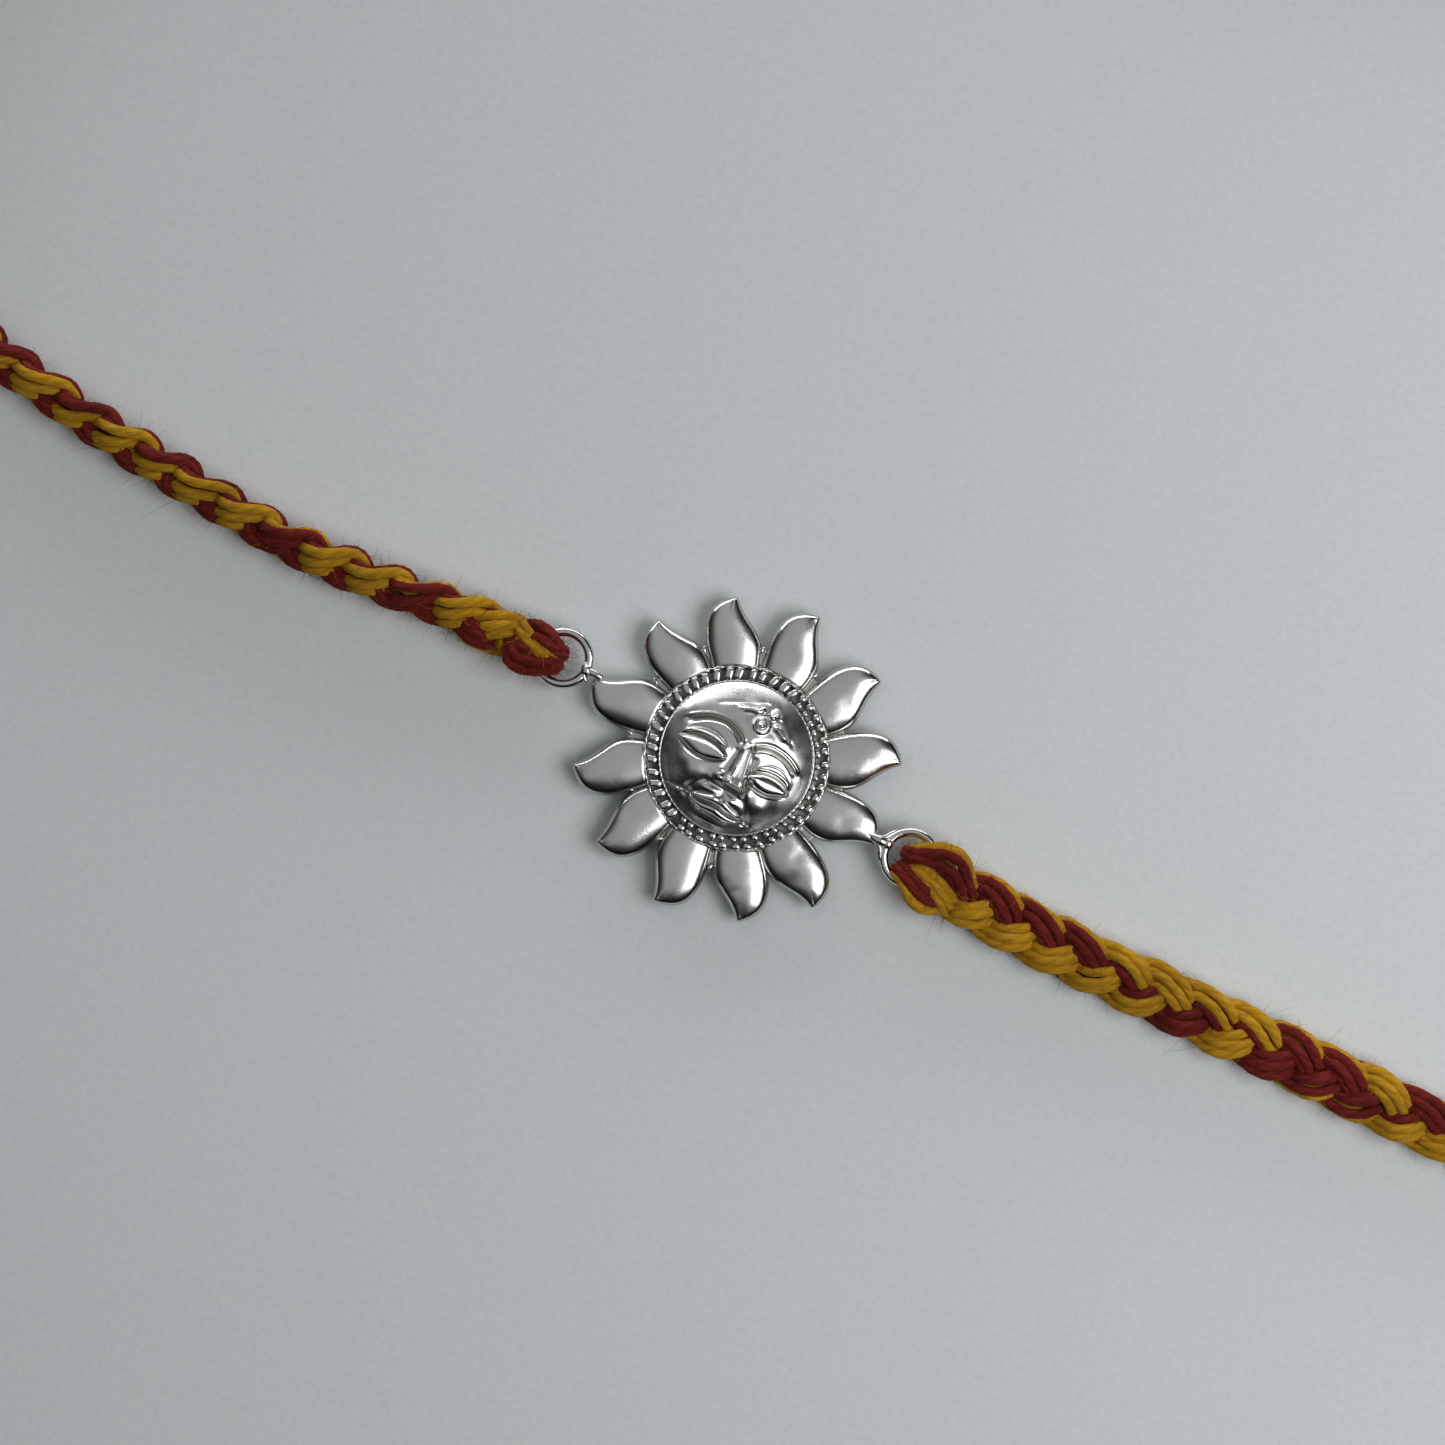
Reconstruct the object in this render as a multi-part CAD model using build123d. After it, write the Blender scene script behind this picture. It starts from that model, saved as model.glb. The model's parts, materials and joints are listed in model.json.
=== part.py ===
from build123d import *
import math
import os

# A rakhi bracelet: a pressed silver sun with a face, a soldered ring at two of its rays,
# and two plaited cotton cords that are folded through the rings and tied together.
# Millimetres, Z up. The pieces are worked out about the sun's centre, with X through
# the two rings and Y towards the top of the face, and are moved at the end so that
# the origin is the middle of the ground under the whole bracelet.

# Sun plate and rays
RAY_COUNT = 12
RAY_REACH = 12.4
RAY_WIDTH = 4.1
RAY_HEIGHT = 1.25
PLATE_RADIUS = 8.9
PLATE_THICKNESS = 0.5
SPUR_LENGTH = 0.75
SPUR_WIDTH = 1.0
SPUR_SEAT = 0.4
SHEET = 0.55

# Face dome and its beaded border
DOME_RADIUS = 5.9
DOME_FOOT = 1.3
DOME_RISE = 2.1
BORDER_RADIUS = 7.05
BORDER_HEIGHT = 1.25
BORDER_SLOPE = 0.25
ROOT_GAP = 0.05
# the sheet is drawn thinner there, as shares of its thickness
DOME_FOOT_WALL = 0.9
BORDER_WALL = 0.3
BEAD_COUNT = 48
BEAD_RADIUS = 0.36
RIM_WIRE = 0.32
INNER_RIM_WIRE = 0.22

# Face features, as shares of the dome's radius: across and up
EYE_INNER = (0.17, -0.05)
EYE_OUTER = (0.75, 0.0)
EYE_TOP = (0.46, 0.115)
EYE_UNDER = (0.46, -0.17)
EYE_RAISED = 0.34
BROW_INNER = (0.06, 0.235)
BROW_OUTER = (0.86, 0.11)
BROW_TOP = (0.44, 0.4)
BROW_UNDER = (0.45, 0.31)
BROW_RAISED = 0.3
CHEEK = (0.47, -0.42)
CHEEK_CURVE = 0.75
CHEEK_RAISED = 0.26
CHEEK_SEAT = 0.3
CHIN = (0.0, -0.83)
CHIN_CURVE = 0.4
CHIN_RAISED = 0.22
MOUTH_WIDTH = 0.36
MOUTH_LINE = -0.6
MOUTH_BOW = -0.475
MOUTH_UNDER = -0.77
LIP_RAISED = 0.38
LIP_ARCH = (0.45, 0.8)
LIP_PARTING = 0.1
PARTING_SAG = 0.16
LOWER_LIP_RAISED = 0.32
LOWER_LIP_SHARE = 0.86
TILAK = (0.0, 0.54)
TILAK_RADIUS = 0.065
TILAK_RING = 0.105
TILAK_LEAF_TOP = 0.76
TILAK_LEAF_SPREAD = 0.12
TILAK_LEAF_HALF_WIDTH = 0.045
FOREHEAD_RAISED = 0.22

# The nose from bridge to base: share up, half width, share of full height
NOSE_HEIGHT = 1.15
NOSE_SECTIONS = [
    (0.3, 0.1, 0.2),
    (0.04, 0.11, 0.5),
    (-0.26, 0.19, 0.98),
    (-0.37, 0.22, 0.4),
]
NOSTRIL = (0.13, -0.31)
NOSTRIL_CURVE = 0.09
NOSTRIL_RAISED = 0.58
NOSE_TIP = (0.0, -0.27)
NOSE_TIP_CURVE = 0.13
NOSE_TIP_RAISED = 1.09

# Soldered rings
RING_OUTSIDE = 4.65
RING_WIRE = 0.7
RING_LIFT = 0.6
RING_GAP = 0.35
SOLDER_RADIUS = 0.42
SOLDER_LUMP_RADIUS = 0.47

# Cords: three strands in each
CORD_WIDTH_LEFT = 4.1
CORD_WIDTH_RIGHT = 4.95
STRAND_DIAMETER = 1.1
PLAIT_REPEAT = 10.9
PLAIT_SIDE_SHARE = 0.55
CROSSING_LIFT = 1.42
# the arcs at the corners take off a share of the crossings' lift
MIDDLE_LIFT_SHARE = 0.55
FOLD_SPACING = 1.28
FOLD_CLEARANCE = 0.12
FOLD_ARC_SHARE = 0.93
FOLD_TAIL = 1.1
FOLD_LIFT = 0.1
FOLD_DIVE = 0.7
PLAIT_START = 3.0
PLAIT_LEAD_IN = 1.2
STRAND_COUNT = 3
SHORTEST_RUN = 0.3
# how much higher the plait lies where it meets the knot
KNOT_CLIMB = 0.6
# the share of a repeat past a crossing at which the plait ends
SPREAD_PHASE = 0.11

# Knot that ties the two cords together, with a tuft from each
KNOT_LENGTH = 6.0
KNOT_WIDTH = 6.0
KNOT_HEIGHT = 4.6
KNOT_PLACE = 86.6
KNOT_GAP = 0.3
KNOT_RUN = 1.2
WRAP_COUNT = 3
WRAP_STANDS_OUT = 0.35
WRAP_ROUNDING = 0.45
KNOT_ROUNDING_SHARE = 0.36
TUFT_LENGTH = 12.0
LOCK_DIAMETER = 1.1
LOCKS_IN_TUFT = 5
TUFT_SPREAD = 26.0
TUFT_LEAN = 30.0
# how far from the knot's middle a lock starts
LOCK_FOOT = 1.5

# A ray's outline: share of its length from the root, and share of its width
# across, clockwise positive seen from above
RAY_OUTLINE = {
    "trailing_root": (0.0, -0.43),
    "trailing_bulge": (0.545, -0.47),
    "tip": (1.0, 0.06),
    "leading_hollow": (0.69, 0.17),
    "leading_turn": (0.42, 0.34),
    "leading_belly": (0.19, 0.473),
    "leading_root": (0.0, 0.366),
}
RAY_HEART = (0.33, -0.05)

# A ray's levels: share of its outline, and share of its height
RAY_LEVELS = [
    (1.0, 0.0),
    (0.92, 0.6),
    (0.72, 0.9),
    (0.34, 1.0),
]
RAY_HOLLOW_LEVELS = [
    (0.72, 0.0),
    (0.46, 0.5),
]

# Where each cord lies, from beside its ring to the knot
RIGHT_ROUTE = [
    (27.0, -0.35), (38.0, 0.55), (50.0, 1.5), (62.0, 2.3), (72.5, 4.5),
    (81.0, 12.0), (85.5, 23.0), (85.0, 37.0), (79.0, 50.5), (69.0, 62.5),
    (56.0, 72.5), (41.0, 80.0), (24.0, 85.0),
]
LEFT_ROUTE = [
    (-24.0, -1.15), (-31.0, -2.45), (-38.0, -3.15), (-50.0, -2.85), (-63.0, -2.0),
    (-74.0, 0.8), (-82.0, 9.0), (-86.0, 21.0), (-85.0, 35.0), (-79.0, 49.0),
    (-69.0, 61.5), (-56.0, 72.0), (-41.0, 79.8), (-24.0, 85.0),
]
ROUTE_START_LEVEL = -0.45
ROUTE_TURN_SHARE = 0.45

# Sizes that follow from those above
RAY_ROOT = BORDER_RADIUS + BORDER_SLOPE + ROOT_GAP
RING_CENTRE_LINE = (RING_OUTSIDE - RING_WIRE) / 2
RING_PLACE = RAY_REACH + RING_GAP + RING_WIRE / 2 + RING_CENTRE_LINE
FOLD_RADIUS = (RING_WIRE + STRAND_DIAMETER) / 2 + FOLD_CLEARANCE
PLAIT_MIDDLE = STRAND_DIAMETER / 2 + MIDDLE_LIFT_SHARE * CROSSING_LIFT
WIRE_LEVEL = FOLD_RADIUS + STRAND_DIAMETER / 2 + FOLD_LIFT
SUN_BACK = WIRE_LEVEL - RING_LIFT
DOME_CURVE = (DOME_RADIUS ** 2 + DOME_RISE ** 2) / (2 * DOME_RISE)
DOME_TOP = DOME_FOOT + DOME_RISE


def dome_height(radius, sunk=0.0):
    """Height of the dome above the sun's back at a distance from its middle."""
    curve = DOME_CURVE - sunk
    return DOME_TOP - DOME_CURVE + math.sqrt(curve ** 2 - radius ** 2)


def dome_point(across, up, raised=0.0):
    """A point on the dome, or raised over it."""
    return Vector(across, up, dome_height(math.hypot(across, up)) + raised)


def ray_point(name, share, level):
    """A named corner of the ray that points along X, drawn in towards its heart."""
    length = RAY_REACH - RAY_ROOT
    along, across = RAY_OUTLINE[name]
    heart_along, heart_across = RAY_HEART
    along = heart_along + (along - heart_along) * share
    across = heart_across + (across - heart_across) * share
    return Vector(RAY_ROOT + length * along, -RAY_WIDTH * across, level)


def ray_section(share, level):
    """The ray's outline at one level, in three arcs and the root's line."""
    corner = {name: ray_point(name, share, level) for name in RAY_OUTLINE}
    edges = [
        ThreePointArc(corner["trailing_root"], corner["trailing_bulge"], corner["tip"]),
        ThreePointArc(corner["tip"], corner["leading_hollow"], corner["leading_turn"]),
        ThreePointArc(corner["leading_turn"], corner["leading_belly"], corner["leading_root"]),
        Line(corner["leading_root"], corner["trailing_root"]),
    ]
    return make_face(edges)


def ray_form(levels):
    """A pillowed ray, or the hollow under it, from its table of levels."""
    sections = [ray_section(share, RAY_HEIGHT * level) for share, level in levels]
    return loft(sections, ruled=True)


def round_the_sun(piece, count=RAY_COUNT, first=0.0):
    """Copies of a piece at even angles round the sun's middle."""
    return [Rot(0, 0, first + 360 / count * index) * piece for index in range(count)]


def sun_bowl():
    """The turned form: dome, border seat and plate, hollow from behind."""
    foot = Vector(DOME_RADIUS, 0, DOME_FOOT)
    inner_radius = DOME_RADIUS - DOME_FOOT_WALL * SHEET
    inner_foot = Vector(inner_radius, 0, dome_height(inner_radius, SHEET))
    outer = ThreePointArc(
        Vector(0, 0, DOME_TOP),
        Vector(DOME_RADIUS / 2, 0, dome_height(DOME_RADIUS / 2)),
        foot,
    )
    outside = Polyline(
        foot,
        Vector(BORDER_RADIUS, 0, BORDER_HEIGHT),
        Vector(BORDER_RADIUS + BORDER_SLOPE, 0, PLATE_THICKNESS),
        Vector(PLATE_RADIUS, 0, PLATE_THICKNESS),
        Vector(PLATE_RADIUS, 0, 0),
        Vector(BORDER_RADIUS + BORDER_SLOPE, 0, 0),
        Vector(BORDER_RADIUS - BORDER_WALL * SHEET, 0, BORDER_HEIGHT - SHEET),
        inner_foot,
    )
    inner = ThreePointArc(
        inner_foot,
        Vector(inner_radius / 2, 0, dome_height(inner_radius / 2, SHEET)),
        Vector(0, 0, DOME_TOP - SHEET),
    )
    axis_line = Line(Vector(0, 0, DOME_TOP - SHEET), Vector(0, 0, DOME_TOP))
    return revolve(make_face([outer, outside, inner, axis_line]), Axis.Z)


def border():
    """The ring of beads between its two rims."""
    bead_circle = (DOME_RADIUS + BORDER_RADIUS) / 2
    bead = Pos(bead_circle, 0, BORDER_HEIGHT) * Sphere(BEAD_RADIUS)
    outer_rim = Pos(0, 0, BORDER_HEIGHT) * Torus(BORDER_RADIUS - RIM_WIRE / 2, RIM_WIRE / 2)
    inner_rim = Pos(0, 0, DOME_FOOT) * Torus(DOME_RADIUS, INNER_RIM_WIRE / 2)
    return round_the_sun(bead, BEAD_COUNT) + [outer_rim, inner_rim]


def raised_outline(edges, raised, seat=0.7):
    """A low relief with an upright edge, whose top follows the dome."""
    prism = extrude(make_face(edges), 2 * DOME_TOP)
    curve_centre = Pos(0, 0, DOME_TOP - DOME_CURVE)
    top = curve_centre * Sphere(DOME_CURVE + raised)
    inside_wall = curve_centre * Sphere(DOME_CURVE - seat * SHEET)
    return (prism & top) - inside_wall


def leaf(left, right, upper, lower):
    """Outline of a leaf between two points, through an upper and a lower one."""
    return [ThreePointArc(left, upper, right), ThreePointArc(right, lower, left)]


def bulge(across, up, curve, raised, seat=0.5):
    """A round swelling that stands out of the dome, and ends inside its wall."""
    curve_centre = Vector(0, 0, DOME_TOP - DOME_CURVE)
    direction = (dome_point(across, up) - curve_centre).normalized()
    ball_centre = curve_centre + direction * (DOME_CURVE + raised - curve)
    inside_wall = Pos(curve_centre) * Sphere(DOME_CURVE - seat * SHEET)
    return Pos(ball_centre) * Sphere(curve) - inside_wall


def on_face(place, side=1):
    """A flat point from shares of the dome's radius, mirrored for the other side."""
    return Vector(side * place[0] * DOME_RADIUS, place[1] * DOME_RADIUS)


def eye(side):
    """A closed eye: a leaf that stands out of the dome."""
    points = [on_face(place, side) for place in (EYE_INNER, EYE_OUTER, EYE_TOP, EYE_UNDER)]
    return raised_outline(leaf(*points), EYE_RAISED)


def brow(side):
    """A brow ridge, which starts beside the bridge of the nose."""
    points = [on_face(place, side) for place in (BROW_INNER, BROW_OUTER, BROW_TOP, BROW_UNDER)]
    return raised_outline(leaf(*points), BROW_RAISED)


def nose():
    """The nose's ridge, its wings and its tip."""
    sections = []
    for up, half_width, rise in NOSE_SECTIONS:
        up_place = up * DOME_RADIUS
        half = half_width * DOME_RADIUS
        seat = dome_height(abs(up_place)) - SHEET / 2
        peak = seat + SHEET / 2 + NOSE_HEIGHT * rise
        corners = [(-half, up_place, seat), (0, up_place, peak), (half, up_place, seat)]
        sections.append(make_face(Polyline(*corners, close=True)))
    ridge = loft(sections, ruled=True)
    pieces = [ridge]
    tip_across, tip_up = (share * DOME_RADIUS for share in NOSE_TIP)
    pieces.append(bulge(tip_across, tip_up, NOSE_TIP_CURVE * DOME_RADIUS, NOSE_TIP_RAISED))
    across, up = (share * DOME_RADIUS for share in NOSTRIL)
    for side in (-1, 1):
        pieces.append(bulge(side * across, up, NOSTRIL_CURVE * DOME_RADIUS, NOSTRIL_RAISED))
    return pieces


def mouth():
    """The two lips, with a line between them."""
    half = MOUTH_WIDTH * DOME_RADIUS
    line = MOUTH_LINE * DOME_RADIUS
    left = Vector(-half, line)
    right = Vector(half, line)
    bow = Vector(0, MOUTH_BOW * DOME_RADIUS)
    arch_across, arch_share = LIP_ARCH
    arch_up = line + (bow.Y - line) * arch_share
    upper = [
        ThreePointArc(left, Vector(-arch_across * half, arch_up), bow),
        ThreePointArc(bow, Vector(arch_across * half, arch_up), right),
        Line(right, left),
    ]
    under = Vector(0, MOUTH_UNDER * DOME_RADIUS)
    lower_start = Vector(-LOWER_LIP_SHARE * half, line - LIP_PARTING)
    lower_end = Vector(LOWER_LIP_SHARE * half, line - LIP_PARTING)
    parting = Vector(0, line - PARTING_SAG)
    lower = [
        ThreePointArc(lower_start, under, lower_end),
        ThreePointArc(lower_end, parting, lower_start),
    ]
    return [raised_outline(upper, LIP_RAISED), raised_outline(lower, LOWER_LIP_RAISED)]


def forehead_mark():
    """A ringed dot with two leaves over it."""
    across, up = (share * DOME_RADIUS for share in TILAK)
    dot = bulge(across, up, TILAK_RADIUS * DOME_RADIUS, FOREHEAD_RAISED)
    place = dome_point(across, up, 0)
    tilt = math.degrees(math.asin(up / DOME_CURVE))
    ring = Torus(TILAK_RING * DOME_RADIUS, INNER_RIM_WIRE / 2)
    pieces = [dot, Pos(place) * Rot(-tilt, 0, 0) * ring]
    foot = Vector(0, up + TILAK_RING * DOME_RADIUS)
    for side in (-1, 1):
        top = Vector(side * TILAK_LEAF_SPREAD * DOME_RADIUS, TILAK_LEAF_TOP * DOME_RADIUS)
        half_way = (foot + top) * 0.5
        sideways = Vector(TILAK_LEAF_HALF_WIDTH * DOME_RADIUS, 0)
        outline = leaf(foot, top, half_way - sideways, half_way + sideways)
        pieces.append(raised_outline(outline, FOREHEAD_RAISED))
    return pieces


def face_relief():
    """Everything that stands out of the dome, in groups."""
    groups = [nose(), mouth(), forehead_mark()]
    cheek_across, cheek_up = (share * DOME_RADIUS for share in CHEEK)
    cheek_curve = CHEEK_CURVE * DOME_RADIUS
    for side in (-1, 1):
        groups += [[eye(side)], [brow(side)]]
        groups.append([bulge(side * cheek_across, cheek_up, cheek_curve, CHEEK_RAISED, CHEEK_SEAT)])
    chin_across, chin_up = (share * DOME_RADIUS for share in CHIN)
    groups.append([bulge(chin_across, chin_up, CHIN_CURVE * DOME_RADIUS, CHIN_RAISED)])
    return groups


def soldered_ring(side):
    """A wire ring in the sun's plane, with the solder that holds it to a ray's tip."""
    ring = Pos(side * RING_PLACE, 0, RING_LIFT) * Torus(RING_CENTRE_LINE, RING_WIRE / 2)
    neck_start = RAY_REACH - 2 * SOLDER_RADIUS
    neck_end = RING_PLACE - RING_CENTRE_LINE
    neck_middle = side * (neck_start + neck_end) / 2
    neck = Pos(neck_middle, 0, RING_LIFT) * Rot(0, 90, 0) * Cylinder(
        SOLDER_RADIUS, neck_end - neck_start
    )
    lump = Pos(side * neck_end, 0, RING_LIFT) * Sphere(SOLDER_LUMP_RADIUS)
    return [ring, neck, lump]


def sun_medallion():
    """The sun, its face, its border and both soldered rings, in one piece of metal."""
    spur_foot = PLATE_RADIUS - SPUR_SEAT
    spur = extrude(
        Polygon(
            (spur_foot, -SPUR_WIDTH / 2),
            (PLATE_RADIUS + SPUR_LENGTH, 0),
            (spur_foot, SPUR_WIDTH / 2),
            align=None,
        ),
        PLATE_THICKNESS,
    )
    half_step = 180 / RAY_COUNT
    groups = [round_the_sun(ray_form(RAY_LEVELS)), round_the_sun(spur, RAY_COUNT, half_step)]
    groups += [border()] + face_relief() + [soldered_ring(-1), soldered_ring(1)]
    body = sun_bowl()
    for group in groups:
        body = body.fuse(*[solid for piece in group for solid in piece.solids()])
    hollows = round_the_sun(ray_form(RAY_HOLLOW_LEVELS))
    body = body.cut(*[solid for hollow in hollows for solid in hollow.solids()])
    return Pos(0, 0, SUN_BACK) * body


def corner_radii(points):
    """The arc that fits at each corner of a route."""
    radii = []
    for before, corner, after in zip(points, points[1:], points[2:]):
        into = before - corner
        out = after - corner
        half_turn = math.radians(180 - into.get_angle(out)) / 2
        shorter = min(into.length, out.length)
        radii.append(ROUTE_TURN_SHARE * shorter / math.tan(half_turn))
    return radii


def cord_line(side):
    """The middle of a cord on the ground, from the ring's wire to the knot."""
    start = Vector(side * (RING_PLACE + RING_CENTRE_LINE), ROUTE_START_LEVEL)
    chosen = [Vector(*place) for place in (RIGHT_ROUTE if side > 0 else LEFT_ROUTE)]
    finish = Vector(side * (KNOT_LENGTH / 2 + KNOT_GAP), KNOT_PLACE)
    points = [start] + chosen + [finish]
    return FilletPolyline(*points, radius=corner_radii(points))


def beside(line, distance, across, height):
    """A point beside a cord's middle line, at a distance along it."""
    point = line.position_at(distance, position_mode=PositionMode.LENGTH)
    ahead = line.tangent_at(distance, position_mode=PositionMode.LENGTH)
    sideways = Vector(-ahead.Y, ahead.X)
    return Vector(point.X, point.Y, height) + sideways * across


def plait_swing(side):
    """How far a strand goes to each side of its cord's middle."""
    width = CORD_WIDTH_RIGHT if side > 0 else CORD_WIDTH_LEFT
    return (width - STRAND_DIAMETER) / 2


def fitted_repeat(end):
    """The plait's repeat, eased so that a whole number of crossings ends at the knot."""
    length = end - KNOT_RUN - PLAIT_START
    crossings = round(STRAND_COUNT * (length / PLAIT_REPEAT - SPREAD_PHASE))
    return length / (crossings / STRAND_COUNT + SPREAD_PHASE)


def knot_climb(distance, end):
    """How much the plait has climbed towards the knot's middle, over its last repeat."""
    return KNOT_CLIMB * max(0.0, 1 - (end - distance) / PLAIT_REPEAT)


def plait_corners(side, number, end):
    """A strand's corners in the plait: up along one side, over the middle and down."""
    repeat = fitted_repeat(end)
    swing = plait_swing(side)
    steps = [
        (0.0, 1, -1),
        (PLAIT_SIDE_SHARE * repeat / 2, 1, 1),
        (repeat / 2, -1, -1),
        ((1 + PLAIT_SIDE_SHARE) * repeat / 2, -1, 1),
    ]
    shift = PLAIT_START - number * repeat / STRAND_COUNT
    places = []
    for turn in range(-1, int(end / repeat) + 2):
        for step, across, up in steps:
            distance = shift + turn * repeat + step
            height = PLAIT_MIDDLE + up * CROSSING_LIFT + knot_climb(distance, end)
            places.append((distance, across * swing, height))
    return places


def place_at(places, distance):
    """How far to the side and how high a strand is at a distance along its cord."""
    for before, after in zip(places, places[1:]):
        if before[0] <= distance < after[0]:
            share = (distance - before[0]) / (after[0] - before[0])
            return [low + (high - low) * share for low, high in zip(before[1:], after[1:])]


def fold_points(side, number):
    """A strand's own part of the fold that holds the ring's wire."""
    # strand 1 has a lane to itself, and 0 and 2 are two halves of one folded bundle
    lane = side * FOLD_SPACING / 2 * (1 if number == 1 else -1)
    # the wire curves back towards the sun beside the fold
    outer_side = (FOLD_SPACING + STRAND_DIAMETER / 2) / 2
    wire = side * (RING_PLACE + math.sqrt(RING_CENTRE_LINE ** 2 - outer_side ** 2))
    inside = wire - side * FOLD_RADIUS
    top = WIRE_LEVEL + FOLD_RADIUS
    under = WIRE_LEVEL - FOLD_RADIUS
    if number == 2:
        return [Vector(wire, lane, under), Vector(wire + side * FOLD_TAIL, lane, under)]
    tail = wire + side * FOLD_TAIL if number == 1 else wire
    points = [Vector(tail, lane, under), Vector(inside, lane, under), Vector(inside, lane, top)]
    if number == 0:
        # it stays level over the wire before it goes down under strand 1
        points.append(Vector(wire + side * FOLD_DIVE, lane, top))
    return points


def strand(side, number):
    """One strand of a plait, from the fold in its ring to the knot."""
    line = cord_line(side)
    end = line.length
    places = plait_corners(side, number, end)
    first = PLAIT_START - PLAIT_LEAD_IN
    spread = end - KNOT_RUN
    kept = [place for place in places if first <= place[0] < spread - SHORTEST_RUN]
    points = fold_points(side, number)
    points += [beside(line, *place) for place in kept]
    last_place = place_at(places, spread)
    points += [beside(line, distance, *last_place) for distance in (spread, end)]
    radii = corner_radii(points)
    if number != 2:
        radii[:2] = [FOLD_ARC_SHARE * FOLD_RADIUS] * 2
    path = FilletPolyline(*points, radius=radii)
    section = Plane(origin=path @ 0, z_dir=path % 0) * Circle(STRAND_DIAMETER / 2)
    return sweep(section, path=path)


def wrap(place):
    """One turn of the knot's outer wrap, a rounded slab across the cord."""
    thickness = KNOT_LENGTH / WRAP_COUNT
    outline = RectangleRounded(KNOT_WIDTH, KNOT_HEIGHT, KNOT_ROUNDING_SHARE * KNOT_HEIGHT)
    slab = extrude(Plane.YZ * outline, thickness / 2, both=True)
    return Pos(place, 0, 0) * fillet(slab.edges(), WRAP_ROUNDING)


def tuft_lock(angle):
    """One lock of a tuft, which slopes from the knot down to the ground."""
    out = Vector(math.cos(math.radians(angle)), math.sin(math.radians(angle)))
    foot = out * LOCK_FOOT
    reach = KNOT_WIDTH / 2 + TUFT_LENGTH
    tip = out * reach + Vector(0, 0, LOCK_DIAMETER / 2 - KNOT_HEIGHT / 2)
    way = tip - foot
    return extrude(Plane(origin=foot, z_dir=way) * Circle(LOCK_DIAMETER / 2), way.length)


def tie_knot():
    """The tied knot and its two tufts, fused."""
    width = KNOT_WIDTH - 2 * WRAP_STANDS_OUT
    height = KNOT_HEIGHT - 2 * WRAP_STANDS_OUT
    section = RectangleRounded(width, height, KNOT_ROUNDING_SHARE * height)
    inner = extrude(Plane.YZ * section, KNOT_LENGTH / 2, both=True)
    thickness = KNOT_LENGTH / WRAP_COUNT
    pieces = [wrap(thickness * (index - (WRAP_COUNT - 1) / 2)) for index in range(WRAP_COUNT)]
    step = TUFT_SPREAD / (LOCKS_IN_TUFT - 1)
    for lean in (-TUFT_LEAN, TUFT_LEAN):
        for index in range(LOCKS_IN_TUFT):
            pieces.append(tuft_lock(90 + lean - TUFT_SPREAD / 2 + step * index))
    knot = inner.fuse(*[solid for piece in pieces for solid in piece.solids()])
    return Pos(0, KNOT_PLACE, KNOT_HEIGHT / 2) * knot


def main():
    """Build every piece, set the bracelet on the ground and write it out."""
    pieces = {"sun_medallion": sun_medallion(), "tie_knot": tie_knot()}
    for side, name in ((-1, "left"), (1, "right")):
        for number in range(STRAND_COUNT):
            pieces[f"{name}_strand_{number + 1}"] = strand(side, number)
        print(name, "cord length", round(cord_line(side).length, 1))
    box = Compound(children=[Compound(piece.solids()) for piece in pieces.values()]).bounding_box()
    middle = box.center()
    os.makedirs("parts", exist_ok=True)
    for name, piece in pieces.items():
        export_step(Pos(-middle.X, -middle.Y, -box.min.Z) * piece, f"parts/{name}.step")


main()
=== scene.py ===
"""A rakhi bracelet: a pressed silver sun held between two plaited cotton cords."""

import json
import math

import bmesh
import bpy
import numpy as np
from mathutils import Matrix, Vector

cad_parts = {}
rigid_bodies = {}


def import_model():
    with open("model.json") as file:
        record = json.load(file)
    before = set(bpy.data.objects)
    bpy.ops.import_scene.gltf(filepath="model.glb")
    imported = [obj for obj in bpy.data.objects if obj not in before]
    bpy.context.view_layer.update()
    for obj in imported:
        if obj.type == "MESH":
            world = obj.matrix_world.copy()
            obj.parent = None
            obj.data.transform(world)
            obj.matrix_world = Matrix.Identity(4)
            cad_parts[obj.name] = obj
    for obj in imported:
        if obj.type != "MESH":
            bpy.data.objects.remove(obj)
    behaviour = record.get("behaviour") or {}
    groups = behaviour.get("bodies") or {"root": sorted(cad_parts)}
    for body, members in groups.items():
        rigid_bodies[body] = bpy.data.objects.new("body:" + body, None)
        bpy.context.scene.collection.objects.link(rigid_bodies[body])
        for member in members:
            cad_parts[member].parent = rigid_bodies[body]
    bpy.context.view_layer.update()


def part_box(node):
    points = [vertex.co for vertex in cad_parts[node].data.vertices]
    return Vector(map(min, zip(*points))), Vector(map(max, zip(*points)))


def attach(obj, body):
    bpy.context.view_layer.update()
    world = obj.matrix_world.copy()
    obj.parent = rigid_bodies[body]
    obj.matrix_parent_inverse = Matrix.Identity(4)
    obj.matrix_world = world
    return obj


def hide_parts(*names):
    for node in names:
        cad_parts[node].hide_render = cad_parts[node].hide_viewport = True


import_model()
scene = bpy.context.scene

# Lengths below are in mm
MM = 0.001
chance = np.random.default_rng(23)

# The sun's middle on the ground plan, and the level of its back
sun_low, sun_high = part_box("sun_medallion")
SUN_X = (sun_low.x + sun_high.x) / 2 / MM
SUN_Y = (sun_low.y + sun_high.y) / 2 / MM
SUN_BACK = sun_low.z / MM


# Shapes

def rise(value, low, high):
    """0 below low, 1 above high, and a soft step between them."""
    share = np.clip((value - low) / (high - low), 0, 1)
    return share * share * (3 - 2 * share)


def shown(value, start, full, fading, end):
    """0 outside start and end, and 1 between full and fading."""
    return rise(value, start, full) * (1 - rise(value, fading, end))


def peak(value, width):
    """A soft ridge, 1 where the value is 0."""
    return np.exp(-((value / width) ** 2))


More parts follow.
